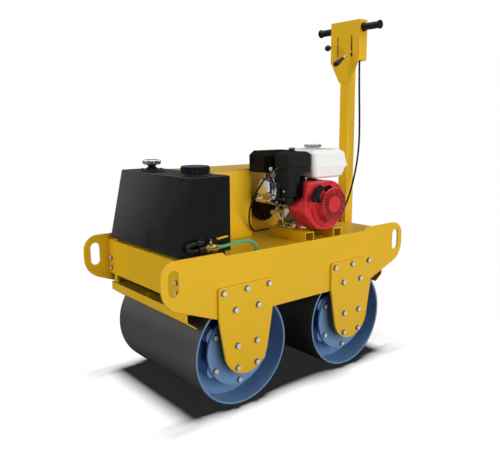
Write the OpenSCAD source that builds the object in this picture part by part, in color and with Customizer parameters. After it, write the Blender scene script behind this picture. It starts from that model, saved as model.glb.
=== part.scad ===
// Walk-behind double drum roller, full size, millimetres.
// +X is the tank end, +Y is the side with the recoil starter, +Z is up.
// The origin is on the floor, midway between the two drums.

/* [Drums] */
// Radius of each drum
drum_r = 213; // [200:1:225]
// Half of the drum's width
drum_half = 290; // [270:1:292]
// Thickness of the drum's shell
drum_wall = 9; // [6:1:12]
// Distance between the two drum axles
wheelbase = 573; // [530:1:620]

/* [Chassis] */
// Half of the chassis length, to the tips of the side plates
chassis_half = 636; // [600:1:680]
// Outer face of each side plate, from the middle plane
side_y = 306; // [300:1:320]
// Thickness of a side plate
side_t = 8; // [6:1:10]
// Height of the deck's upper face
deck_z = 575; // [560:1:590]
// Outer face of the cross plates at both ends
end_x = 530; // [500:1:545]

/* [Water tank] */
// Half of the tank's width
tank_half = 260; // [220:1:270]
// Height of the tank's top
tank_top = 861; // [780:1:900]

/* [Handle] */
// Outer width of the square column
column_w = 50; // [40:1:60]
// Height of the hinge pin
pivot_z = 505; // [490:1:520]
// Height of the top of the control console
console_top = 1505; // [1400:1:1600]

/* [Hidden] */
$fn = 64;

yellow = [0.85, 0.65, 0.12];
black = [0.12, 0.12, 0.12];
blue = [0.30, 0.42, 0.58];
drum_grey = [0.28, 0.27, 0.26];
red = [0.75, 0.12, 0.14];
white = [0.90, 0.89, 0.87];
silver = [0.70, 0.70, 0.70];
brass = [0.75, 0.62, 0.25];

wheel_x = wheelbase / 2;
axle_z = drum_r;
inner_y = side_y - side_t;

// drum inside
web_y = 185;
web_t = 10;
hub_face_y = 266;
hub_t = 10;
hub_r = 144;
buffer_pcd_r = 128;
buffer_r = 30;
buffer_angles = [30:60:330];
axle_r = 30;
journal_r = 22.5;
running_gap = 0.05;
journal_end_y = 300;

// hangers and their bearing housings
hanger_t = 10;
hanger_top = 474;
hanger_half = 126;
hanger_shoulder_z = 361;
hanger_arc_r = 101;
hanger_arc_z = 230;
bearing_face_y = 281;

// hexagon bolts on the hangers and hubs
washer_r = 12;
washer_t = 2;
head_t = 7;
head_r = 11;

// side plate outline
side_top = 598;
side_waist = 584;
side_bottom = 355;
step_x = 385;
slope_x = 402;
slope_deg = 20.6;
slot_x = 588;
slot_z = 520;
slot_w = 40;
slot_h = 92;

// cross plates
end_t = 8;
end_bottom = 434;
deck_t = 6;

// scraper section
scraper_x = 528;
scraper_half = 285;
scraper_top = 397;
scraper_low = 364;
scraper_t = 4;
flange_deep = 50;

// engine seat
crank_x = -152;
rail_top = 615;
rail_w = 50;
rail_h = rail_top - deck_z;
rail_wall = 4;
rail_xs = [-55, -217];
crank_z = rail_top + 104;

// handle
pivot_x = -590;
console_half = 87;
console_low = 1325;
console_back = -616;
lever_y = 42;
grip_z = 1472;
grip_half = 191;

// ---------- helpers ----------

// points of an arc about [cx, cz], from angle a to angle b
function arc(cx, cz, r, a, b, n = 12) =
    [for (i = [0:n]) [cx + r * cos(a + (b - a) * i / n), cz + r * sin(a + (b - a) * i / n)]];

// a profile drawn in X and Z, standing between two Y planes
module slab_y(y0, y1) {
    translate([0, max(y0, y1), 0]) rotate([90, 0, 0]) linear_extrude(abs(y1 - y0)) children();
}

// a profile drawn in Y and Z, standing between two X planes
module slab_x(x0, x1) {
    translate([min(x0, x1), 0, 0]) rotate([90, 0, 90]) linear_extrude(abs(x1 - x0)) children();
}

// a box from its low corner to its high corner
module block(lo, hi) {
    translate(lo) cube(hi - lo);
}

// a cylinder along Y between two planes
module rod_y(x, z, r, y0, y1) {
    translate([x, max(y0, y1), z]) rotate([90, 0, 0]) cylinder(r = r, h = abs(y1 - y0));
}

// a rounded rectangle about the middle, with true arcs
module round_rect(w, h, r) {
    square([w - 2 * r, h], center = true);
    square([w, h - 2 * r], center = true);
    for (x = [-1, 1], z = [-1, 1]) translate([x * (w / 2 - r), z * (h / 2 - r)]) circle(r);
}

// a round tube swept along hand-chosen points, one ring at each point
function unit(v) = v / norm(v);
function tangent(p, i) = unit(p[min(i + 1, len(p) - 1)] - p[max(i - 1, 0)]);
function side_of(t, ref) = unit(cross(t, ref));
function ring(p, i, r, ref, sides) =
    let (t = tangent(p, i), s = side_of(t, ref), u = cross(s, t))
    [for (k = [0:sides - 1]) p[i] + r * (cos(k * 360 / sides) * s + sin(k * 360 / sides) * u)];
// a smooth curve through the points: each span is cut in n
function spline(p, n) = [
    for (i = [0:len(p) - 2], k = [0:n - 1])
        let (a = p[max(i - 1, 0)], b = p[i], c = p[i + 1], d = p[min(i + 2, len(p) - 1)], t = k / n)
        0.5 * (2 * b + (c - a) * t + (2 * a - 5 * b + 4 * c - d) * pow(t, 2)
            + (3 * b - a - 3 * c + d) * pow(t, 3)),
    p[len(p) - 1]];
module tube_along(p, r, ref = [0, 1, 0.02], sides = 8) {
    count = len(p);
    points = [for (i = [0:count - 1]) each ring(p, i, r, ref, sides)];
    walls = [for (i = [0:count - 2], k = [0:sides - 1]) let (n = (k + 1) % sides)
        [i * sides + k, (i + 1) * sides + k, (i + 1) * sides + n, i * sides + n]];
    first = [[for (k = [0:sides - 1]) k]];
    last = [[for (k = [sides - 1:-1:0]) (count - 1) * sides + k]];
    polyhedron(points, concat(walls, first, last), convexity = 6);
}

// ---------- chassis ----------

module side_outline() {
    half = concat(
        [[step_x - (side_top - side_waist), side_waist], [step_x, side_top]],
        arc(chassis_half - 60, side_top - 60, 60, 90, 0),
        arc(chassis_half - 90, 505, 90, 0, slope_deg - 90),
        [[slope_x, side_bottom]]);
    other = [for (i = [len(half) - 1:-1:0]) [-half[i][0], half[i][1]]];
    polygon(concat(half, other));
}

module lifting_slot(x) {
    translate([x, slot_z]) {
        square([slot_w, slot_h - slot_w], center = true);
        for (s = [-1, 1]) translate([0, s * (slot_h - slot_w) / 2]) circle(d = slot_w);
    }
}

module side_plate(s) {
    color(yellow) slab_y(s * inner_y, s * side_y) difference() {
        side_outline();
        lifting_slot(slot_x);
        lifting_slot(-slot_x);
    }
}

module end_plate_front() {
    color(yellow) block([end_x - end_t, -inner_y, end_bottom], [end_x, inner_y, deck_z]);
}

ear_t = 8;
ear_gap = 27;
ear_z = [470, 540];
pin_r = 8;
module end_plate_rear() {
    color(yellow) difference() {
        union() {
            block([-end_x, -inner_y, end_bottom], [-end_x + end_t, inner_y, deck_z]);
            for (s = [-1, 1]) slab_y(s * ear_gap, s * (ear_gap + ear_t)) {
                translate([pivot_x, ear_z[0]]) square([-end_x - pivot_x, ear_z[1] - ear_z[0]]);
                translate([pivot_x, pivot_z]) circle(35);
            }
        }
        rod_y(pivot_x, pivot_z, pin_r, -60, 60);
    }
}

hose_hole = [204, 272];
cable_hole = [-508, 40];
throttle_hole = [-96, 14];
module deck() {
    color(yellow) difference() {
        block([-end_x + end_t, -inner_y, deck_z - deck_t], [end_x - end_t, inner_y, deck_z]);
        for (h = [hose_hole, cable_hole, throttle_hole])
            translate([h[0], h[1], deck_z - 20]) cylinder(r = 7, h = 40);
    }
}

// outline of a hanger about its own drum: a round foot and straight flanks up to square shoulders
module hanger_outline() {
    lean = asin(hanger_arc_r / norm([hanger_half, hanger_shoulder_z - hanger_arc_z]))
        - atan2(hanger_shoulder_z - hanger_arc_z, hanger_half);
    top_r = 14;
    right = concat(
        arc(0, hanger_arc_z, hanger_arc_r, -90, lean, 10),
        [[hanger_half, hanger_shoulder_z]],
        arc(hanger_half - top_r, hanger_top - top_r, top_r, 0, 90, 6));
    left = [for (i = [len(right) - 1:-1:1]) [-right[i][0], right[i][1]]];
    polygon(concat(right, left));
}

// a hexagon head on its washer, standing on the face at y, outward on side s
module bolt_head(x, z, y, s) {
    translate([x, s * y, z]) rotate([-s * 90, 0, 0]) {
        cylinder(r = washer_r, h = washer_t);
        cylinder(r = head_r, h = washer_t + head_t, $fn = 6);
    }
}

// bolts of one hanger: [offset along X, height]
hanger_bolts = [[-105, 454], [0, 454], [105, 454], [-53, 383], [53, 383],
    [-45, 246], [45, 246], [-45, 161], [45, 161]];

module hanger(x, s) {
    color(silver) for (b = hanger_bolts) bolt_head(x + b[0], b[1], side_y + hanger_t, s);
    color(yellow) difference() {
        union() {
            slab_y(s * side_y, s * (side_y + hanger_t)) translate([x, 0]) hanger_outline();
            slab_y(s * (side_y - 10), s * side_y) translate([x, 204]) round_rect(124, 120, 12);
            rod_y(x, axle_z, 48, s * bearing_face_y, s * side_y);
        }
        rod_y(x, axle_z, journal_r + running_gap, s * (bearing_face_y - 1), s * side_y);
    }
}

module scraper(s) {
    color(yellow) {
        slab_y(-scraper_half, scraper_half) polygon([
            for (p = [
                [scraper_x, scraper_top], [scraper_x, scraper_low],
                [scraper_x - 40, scraper_low - 29], [scraper_x - 42, scraper_low - 26],
                [scraper_x - scraper_t, scraper_low + 2], [scraper_x - scraper_t, scraper_top - scraper_t],
                [scraper_x - flange_deep, scraper_top - scraper_t], [scraper_x - flange_deep, scraper_top]])
            [s * p[0], p[1]]]);
        for (y = [-1, 1]) translate([s * (end_x - 13), y * 258, (scraper_top + deck_z - deck_t) / 2])
            cube([10, 26, deck_z - deck_t - scraper_top], center = true);
    }
}

pipe_r = 11;
pipe_z = deck_z - deck_t - 25;
module spray_pipes() {
    color(silver) {
        for (x = [-wheel_x, wheel_x]) {
            rod_y(x, pipe_z, pipe_r, -250, hose_hole[1]);
            for (y = [-200, 150]) block([x - 8, y - 10, pipe_z], [x + 8, y + 10, deck_z - deck_t]);
        }
        translate([-wheel_x, hose_hole[1], pipe_z]) rotate([0, 90, 0]) cylinder(r = pipe_r, h = wheelbase);
        translate([hose_hole[0], hose_hole[1], pipe_z]) cylinder(r = 6.8, h = deck_z - pipe_z);
    }
}

// ---------- water tank ----------

tank_bottom = 589;
tank_rear = 314;
tank_front_low = 536;
tank_front_high = 474;
module water_tank() {
    color(black) {
        slab_y(-tank_half, tank_half) polygon([
            [tank_rear, tank_bottom], [tank_front_low, tank_bottom],
            [tank_front_high, tank_top], [tank_rear, tank_top]]);
        for (x = [340, 500], y = [-238, 238])
            translate([x, y, deck_z]) cylinder(r = 12, h = tank_bottom - deck_z + 1);
    }
}

filler_xy = [410, 182];
module filler_cap() {
    color(black) translate([filler_xy[0], filler_xy[1], tank_top]) {
        cylinder(r = 60, h = 9);
        cylinder(r = 52, h = 41);
        for (a = [0:15:345]) rotate(a) translate([52, 0, 12]) cylinder(r = 4, h = 26, $fn = 24);
        translate([0, 0, 41]) cylinder(r1 = 52, r2 = 44, h = 4);
    }
}

breather_xy = [415, -116];
module breather_cap() {
    color(black) translate([breather_xy[0], breather_xy[1], tank_top]) {
        cylinder(r = 52, h = 5);
        cylinder(r = 27, h = 10);
        cylinder(r = 14, h = 30);
        translate([0, 0, 27]) cylinder(r = 33, h = 16);
        for (a = [0:45:315]) rotate(a) translate([31, 0, 27]) cylinder(r = 7, h = 15, $fn = 24);
    }
}

valve_y = 279;
valve_z = 614;
valve_x = [388, 440];
outlet_route = [
    [442, tank_half, 638], [442, 264, 638], [442, 268, 638], [450, 277, 638], [472, valve_y, 638],
    [498, valve_y, 637], [511, valve_y, 631], [511, valve_y, 620], [498, valve_y, 614],
    [472, valve_y, valve_z], [valve_x[1], valve_y, valve_z]];
module tank_outlet() {
    color(black) tube_along(spline(outlet_route, 4), 8, [0.1, 1, 0.3], 12);
}

module ball_valve() {
    color(brass) translate([valve_x[0], valve_y, valve_z]) {
        rotate([0, 90, 0]) {
            cylinder(r = 9, h = valve_x[1] - valve_x[0]);
            for (x = [3, 37]) translate([0, 0, x]) cylinder(r = 14, h = 12, $fn = 6);
        }
        translate([29, 0, 0]) {
            sphere(15);
            cylinder(r = 7, h = 26);
        }
    }
}

module valve_lever() {
    color(yellow) translate([valve_x[0] + 29, valve_y, valve_z + 26]) {
        cylinder(r = 9, h = 5);
        translate([-12, -6, 0]) cube([12, 12, 5]);
        translate([-12, 0, 2.5]) rotate([0, 7, 0]) translate([-56, -6.5, -2.5]) cube([58, 13, 5]);
    }
}

hose_route = [
    [valve_x[0], valve_y, valve_z], [356, valve_y, 615], [322, 279, 618], [288, 278, 620],
    [258, 277, 620], [234, 275, 614], [214, 273, 602],
    for (z = [592, 583, deck_z]) [hose_hole[0], hose_hole[1], z]];
module water_hose() {
    color([0.30, 0.60, 0.38]) tube_along(spline(hose_route, 4), 6.5, [0.02, 1, 0.02], 10);
}

// ---------- drive housing ----------

housing_x = [-290, 41, 300];
housing_y = [-285, -60, 45];
housing_top = 850;
module drive_housing() {
    color(yellow) translate([0, 0, deck_z]) linear_extrude(housing_top - deck_z) polygon([
        [housing_x[0], housing_y[0]], [housing_x[2], housing_y[0]], [housing_x[2], housing_y[2]],
        [housing_x[1], housing_y[2]], [housing_x[1], housing_y[1]], [housing_x[0], housing_y[1]]]);
}

guard_r = 46;
module pump_cover() {
    color([0.16, 0.10, 0.06]) difference() {
        union() {
            rod_y(-78, 688, 40, housing_y[1], 0);
            rod_y(-78, 688, 66, -26, -8);
        }
        rod_y(crank_x, crank_z, guard_r + 2, housing_y[1] - 1, 1);
    }
}

// ---------- engine ----------

module engine_rails() {
    color(yellow) for (x = rail_xs) translate([x - rail_w / 2, 76, deck_z]) difference() {
        cube([rail_w, 215, rail_h]);
        translate([rail_wall, -1, rail_wall]) cube([rail_w - 2 * rail_wall, 217, rail_h - 2 * rail_wall]);
    }
}

base_x = [-234, -42];
base_y = [100, 210];
case_y = [92, 214];
// the cylinder leans 25 degrees above the horizontal
cyl_lean = 25;
// a point s along the cylinder from its seat and n square to it
function lean_at(s, n) =
    [-66 + s * cos(cyl_lean) - n * sin(cyl_lean), 752 + s * sin(cyl_lean) + n * cos(cyl_lean)];
module crankcase() {
    color(silver) {
        block([base_x[0], base_y[0], rail_top], [base_x[1], base_y[1], rail_top + 22]);
        slab_y(case_y[0], case_y[1]) polygon([
            [-86, rail_top + 20], lean_at(0, -48), lean_at(0, 52), [lean_at(0, 52)[0], fuel_z[0]],
            [-240, fuel_z[0]], [-240, crank_z + 20], [-222, rail_top + 20]]);
        rod_y(crank_x, crank_z, 60, 78, case_y[0] + 1);
        translate([-62, 196, rail_top + 20]) cylinder(r = 9, h = 14);
    }
}

module pto_guard() {
    color(yellow) rod_y(crank_x, crank_z, guard_r, housing_y[1], 78);
}

// cylinder with cooling fins across it, and the valve cover on its end
head_y = 115;
head_half = 50;
module cylinder_head() {
    color(silver) {
        translate([-66, head_y, 752]) rotate([0, -cyl_lean, 0]) {
            translate([0, -42, -42]) cube([96, 84, 84]);
            for (i = [0:6]) translate([25 + i * 10, -head_half, -52]) cube([4, 2 * head_half, 104]);
            translate([94, -46, -46]) cube([16, 92, 92]);
            translate([108, 0, 0]) rotate([0, 90, 0]) cylinder(r = 40, h = 26);
        }
        rod_y(-22, 734, 9, head_y + 38, carb_y[0]);
    }
}

carb_y = [176, 210];
module carburettor() {
    color(silver) {
        block([-44, carb_y[0], 712], [0, carb_y[1], cleaner_z[0]]);
        translate([-22, 193, 690]) cylinder(r = 16, h = 23);
    }
}

shroud_y = [214, 238, 292];
module shroud_outline() {
    translate([crank_x - 8, crank_z]) circle(98);
    polygon([
        [crank_x - 60, crank_z + 88], [-26, crank_z + 95], [-22, crank_z - 38],
        [-90, crank_z - 96], [crank_x - 60, crank_z - 86]]);
}
// the shroud steps back round the air cleaner
module fan_shroud() {
    color(red) {
        slab_y(shroud_y[1], shroud_y[2]) shroud_outline();
        slab_y(shroud_y[0], shroud_y[1]) difference() {
            union() {
                shroud_outline();
                polygon([[-150, 800], [-12, 800], [-8, 702], [-58, 640], [-110, 620], [-150, 622]]);
            }
            translate([-64, cleaner_z[0] - 3]) square([80, 90]);
        }
    }
}

dome_y = side_y + hanger_t + washer_t + head_t;
module recoil_cover() {
    slots = 30;
    depth = dome_y - shroud_y[2];
    color(red) translate([crank_x, shroud_y[2], crank_z]) rotate([-90, 0, 0]) difference() {
        union() {
            difference() {
                cylinder(r = 92, h = 7);
                translate([0, 0, -1]) cylinder(r = 60, h = 9);
            }
            difference() {
                cylinder(r = 66, h = depth);
                translate([0, 0, -1]) cylinder(r = 61, h = depth - 2);
            }
        }
        for (i = [0:slots - 1]) rotate(i * 360 / slots)
            translate([33, -2.2, depth - 6]) cube([23, 4.4, 10]);
    }
}

module recoil_grip() {
    color(black) translate([-76, 310, 769]) rotate([0, 47, 0]) {
        translate([-38, 0, 0]) rotate([0, 90, 0]) cylinder(r = 10, h = 76);
        for (x = [-38, 38]) translate([x, 0, 0]) sphere(10);
        translate([0, -11, 0]) rotate([-90, 0, 0]) cylinder(r = 6, h = 8);
    }
}

fuel_x = [-314, -120];
fuel_y = [62, 258];
fuel_z = [818, 868, 936];
module fuel_tank() {
    bevel = 22;
    color(white) {
        slab_y(fuel_y[0], fuel_y[1]) polygon([
            [fuel_x[0] + 30, fuel_z[0]], [fuel_x[1] - 30, fuel_z[0]], [fuel_x[1] - 4, fuel_z[0] + 26],
            [fuel_x[1], fuel_z[2] - bevel], [fuel_x[1] - bevel, fuel_z[2]],
            [fuel_x[0] + bevel + 12, fuel_z[2]], [fuel_x[0] + 8, fuel_z[2] - bevel],
            [fuel_x[0] + 2, fuel_z[1]]]);
        block([fuel_x[0] - 4, fuel_y[0] - 4, fuel_z[1] - 2], [fuel_x[1] + 2, fuel_y[1] + 4, fuel_z[1] + 2]);
    }
}

fuel_cap_xy = [-208, 150];
module fuel_cap() {
    color(silver) translate([fuel_cap_xy[0], fuel_cap_xy[1], fuel_z[2]]) {
        cylinder(r = 30, h = 4);
        cylinder(r = 36, h = 18);
        for (a = [0:45:315]) rotate(a) translate([34, 0, 0]) cylinder(r = 6, h = 17, $fn = 24);
    }
}

cleaner_z = [748, 846];
module air_cleaner() {
    color(black) {
        slab_y(145, 235) polygon([
            [7, cleaner_z[1]], [7, 914], [-3, 926], [-107, 922], [-117, 910], [-117, cleaner_z[1]]]);
        block([-62, 168, cleaner_z[0]], [7, 235, cleaner_z[1]]);
        translate([-60, 190, 923]) cylinder(r = 14, h = 17);
    }
}

module muffler() {
    color(black) {
        slab_y(52, 140) polygon([[66, 848], [66, 916], [50, 932], [-104, 928], [-112, 848]]);
        block([-40, 53, 780], [0, head_y - head_half, 849]);
    }
}

throttle_route = [
    [7, 190, 868], [24, 190, 866], [48, 180, 852], [74, 160, 818], [90, 130, 765],
    [92, 98, 704], [72, 68, 640], [46, 54, 608], [14, 36, 592], [-20, 20, 588],
    [-60, 14, 588], [-84, 14, 587], [throttle_hole[0], throttle_hole[1], deck_z]];
module throttle_cable() {
    color(black) tube_along(spline(throttle_route, 4), 4, [0.2, 1, 0.4], 8);
}

// ---------- handle ----------

module hinge_pin() {
    color(silver) {
        rod_y(pivot_x, pivot_z, pin_r, -42, 42);
        for (s = [-1, 1]) rod_y(pivot_x, pivot_z, 13, s * 35, s * 42);
    }
}

column_wall = 3;
column_low = 476;
module handle_column() {
    w = column_w;
    color(yellow) difference() {
        translate([pivot_x, 0, column_low]) linear_extrude(console_low - column_low) difference() {
            square(w, center = true);
            square(w - 2 * column_wall, center = true);
        }
        rod_y(pivot_x, pivot_z, pin_r + running_gap, -w, w);
    }
}

plate_t = 3;
module console() {
    wall = 3;
    front_x = pivot_x + column_w / 2;
    color(yellow) {
        difference() {
            slab_x(front_x, front_x + plate_t) polygon([
                [-console_half, console_top], [-console_half, console_low], [-30, 1228],
                [30, 1228], [console_half, console_low], [console_half, console_top]]);
            for (y = [-lever_y, lever_y]) block([front_x - 1, y - 5, 1346], [front_x + 9, y + 5, 1438]);
        }
        difference() {
            block([console_back, -console_half, console_low], [front_x, console_half, console_top]);
            block([console_back + wall, -console_half + wall, console_low + wall],
                [front_x + 1, console_half - wall, console_top - wall]);
            rod_y(pivot_x, grip_z, 14, -200, 200);
        }
        for (s = [-1, 1]) rod_y(pivot_x, 1397 - s * 13, 6, s * 28, s * (console_half - 1));
    }
}

module handlebar() {
    color(black) {
        rod_y(pivot_x, grip_z, 14, -grip_half + 4, grip_half - 4);
        for (s = [-1, 1]) {
            rod_y(pivot_x, grip_z, 17, s * console_half, s * grip_half);
            for (y = [console_half, grip_half - 6]) rod_y(pivot_x, grip_z, 21, s * y, s * (y + 6));
        }
    }
}

// a lever turning on a cross pin inside the console, its rod out through a slot
module lever(s, pitch, rod_len, grip_len, grip_r) {
    translate([pivot_x, s * lever_y, 1397 - s * 13]) rotate([0, pitch, 0]) {
        rotate([90, 0, 0]) difference() {
            cylinder(r = 10, h = 8, center = true);
            cylinder(r = 6, h = 9, center = true);
        }
        translate([8, 0, 0]) rotate([0, 90, 0]) cylinder(r = 4, h = rod_len - 8, $fn = 24);
        translate([rod_len - 4, 0, 0]) rotate([0, 90, 0])
            cylinder(r1 = 7, r2 = grip_r, h = grip_len, $fn = 32);
        translate([rod_len - 4 + grip_len, 0, 0]) sphere(grip_r, $fn = 32);
    }
}
module shift_lever() {
    color(black) lever(-1, 15, 92, 8, 14);
}
module throttle_lever() {
    color(black) lever(1, 31, 108, 46, 13);
}

cable_route = [
    [-580, 76, 1325], [-580, 76, 1300], [-584, 74, 1240], [-592, 71, 1150],
    [-602, 67, 1050], [-606, 64, 950],
    [-600, 60, 860], [-582, 55, 770], [-556, 50, 690], [-528, 45, 630], [-510, 41, 596],
    [cable_hole[0], cable_hole[1], deck_z]];
module control_cable() {
    color(black) tube_along(spline(cable_route, 4), 4.5, [0.05, 1, 0.3], 8);
}

// ---------- drums ----------

module drum(x) {
    color(drum_grey) translate([x, 0, axle_z]) rotate([90, 0, 0]) difference() {
        cylinder(r = drum_r, h = 2 * drum_half, center = true, $fn = 128);
        cylinder(r = drum_r - drum_wall, h = 2 * drum_half + 2, center = true, $fn = 128);
    }
}

module drum_webs(x) {
    color(blue) for (s = [-1, 1]) translate([x, s * (web_y - web_t / 2), axle_z])
        rotate([90, 0, 0]) difference() {
            cylinder(r = drum_r - drum_wall, h = web_t, center = true, $fn = 128);
            cylinder(r = axle_r, h = web_t + 2, center = true);
        }
}

module drum_axle(x) {
    color(blue) rod_y(x, axle_z, axle_r, -hub_face_y + hub_t, hub_face_y - hub_t);
}

// the end disc with its bolts, its collar and the journal that turns in the hanger
module drum_hub(x) {
    color(blue) for (s = [-1, 1]) {
        rod_y(x, axle_z, hub_r, s * (hub_face_y - hub_t), s * hub_face_y);
        rod_y(x, axle_z, 44, s * hub_face_y, s * (bearing_face_y - 6));
        rod_y(x, axle_z, journal_r, s * hub_face_y, s * journal_end_y);
    }
    color(silver) for (s = [-1, 1], a = buffer_angles)
        bolt_head(x + buffer_pcd_r * cos(a), axle_z + buffer_pcd_r * sin(a), hub_face_y, s);
}

module buffers(x) {
    color(blue) for (s = [-1, 1], a = buffer_angles)
        rod_y(x + buffer_pcd_r * cos(a), axle_z + buffer_pcd_r * sin(a), buffer_r,
            s * web_y, s * (hub_face_y - hub_t));
}

side_plate(1);  // side_plate_left
side_plate(-1);  // side_plate_right
end_plate_front();
end_plate_rear();
deck();
hanger(wheel_x, 1);  // hanger_front_left
hanger(wheel_x, -1);  // hanger_front_right
hanger(-wheel_x, 1);  // hanger_rear_left
hanger(-wheel_x, -1);  // hanger_rear_right
scraper(1);  // scraper_front
scraper(-1);  // scraper_rear
spray_pipes();
water_tank();
filler_cap();
breather_cap();
tank_outlet();
ball_valve();
valve_lever();
water_hose();
drive_housing();
pump_cover();
engine_rails();
crankcase();
pto_guard();
cylinder_head();
carburettor();
fan_shroud();
recoil_cover();
recoil_grip();
fuel_tank();
fuel_cap();
air_cleaner();
muffler();
throttle_cable();
hinge_pin();
handle_column();
console();
handlebar();
shift_lever();
throttle_lever();
control_cable();
drum(wheel_x);  // drum_front
drum_webs(wheel_x);  // drum_webs_front
drum_axle(wheel_x);  // drum_axle_front
drum_hub(wheel_x);  // drum_hub_front
buffers(wheel_x);  // buffers_front
drum(-wheel_x);  // drum_rear
drum_webs(-wheel_x);  // drum_webs_rear
drum_axle(-wheel_x);  // drum_axle_rear
drum_hub(-wheel_x);  // drum_hub_rear
buffers(-wheel_x);  // buffers_rear
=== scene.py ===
"""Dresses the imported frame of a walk-behind double drum roller and sets up its studio."""
import math
import random

import bmesh
import bpy
from bpy.props import FloatProperty, FloatVectorProperty, PointerProperty
from mathutils import Matrix, Vector


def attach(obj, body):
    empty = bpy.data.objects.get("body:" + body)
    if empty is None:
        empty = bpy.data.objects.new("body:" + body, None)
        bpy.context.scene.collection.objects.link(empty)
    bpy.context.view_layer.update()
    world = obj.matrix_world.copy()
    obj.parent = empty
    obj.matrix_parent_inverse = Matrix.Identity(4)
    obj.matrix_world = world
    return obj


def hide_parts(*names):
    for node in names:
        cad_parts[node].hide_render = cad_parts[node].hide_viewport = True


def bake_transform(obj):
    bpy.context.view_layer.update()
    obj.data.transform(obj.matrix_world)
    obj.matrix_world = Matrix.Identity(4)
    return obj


bl_info = {
    "name": "Double drum roller",
    "version": (1, 0, 0),
    "blender": (4, 5, 0),
    "location": "View3D > Sidebar > Roller",
    "description": "Detail pieces, paint and studio for a walk-behind double drum roller",
    "category": "Object",
}

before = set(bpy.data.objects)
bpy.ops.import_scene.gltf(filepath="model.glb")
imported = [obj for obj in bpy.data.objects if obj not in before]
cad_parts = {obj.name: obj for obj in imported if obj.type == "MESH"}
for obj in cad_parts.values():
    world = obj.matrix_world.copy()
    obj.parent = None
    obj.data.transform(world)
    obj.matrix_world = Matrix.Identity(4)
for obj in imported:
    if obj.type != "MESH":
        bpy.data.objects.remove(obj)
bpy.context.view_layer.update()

MM = 0.001
X, Y, Z = Vector((1, 0, 0)), Vector((0, 1, 0)), Vector((0, 0, 1))

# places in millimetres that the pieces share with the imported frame
WHEEL_X = 286.5         # drum axles, forward and back of the middle
AXLE_Z = 213
SIDE_Y = 306            # outer faces of the side plates
END_X = 530             # outer faces of the cross plates
DECK_Z = 575            # top of the deck
TANK_HALF = 260         # half the water tank's width
TANK_TOP = 861
CRANK = (-152, 719)     # crankshaft, x and z
PIVOT_X = -590          # handle column

EDGE_ANGLE = 28         # faces that meet at more degrees than this get a rounded edge
SMOOTH_ANGLE = 38       # and at more than this they are shaded apart
CYLINDER_LEAN = math.radians(25)


# ---------- putting meshes together ----------

PLACE = {"x": lambda a, b, t: (t, a, b), "y": lambda a, b, t: (a, t, b), "z": lambda a, b, t: (a, b, t)}


def turns(n):
    """Cosine and sine of n even steps round a circle."""
    return [(math.cos(a), math.sin(a)) for a in (2 * math.pi * k / n for k in range(n))]


def walls(n, rows):
    """Faces between each ring of n vertices and the next."""
    return [(j * n + i, j * n + (i + 1) % n, (j + 1) * n + (i + 1) % n, (j + 1) * n + i)
            for j in range(rows) for i in range(n)]


def square_to(axis):
    """The unit axis and a direction square to it, as near to upright as that can be."""
    up = Vector(axis).normalized()
    if abs(up.z) < 0.9:
        return up, (Z - up * up.z).normalized()
    return up, up.orthogonal().normalized()


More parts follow.
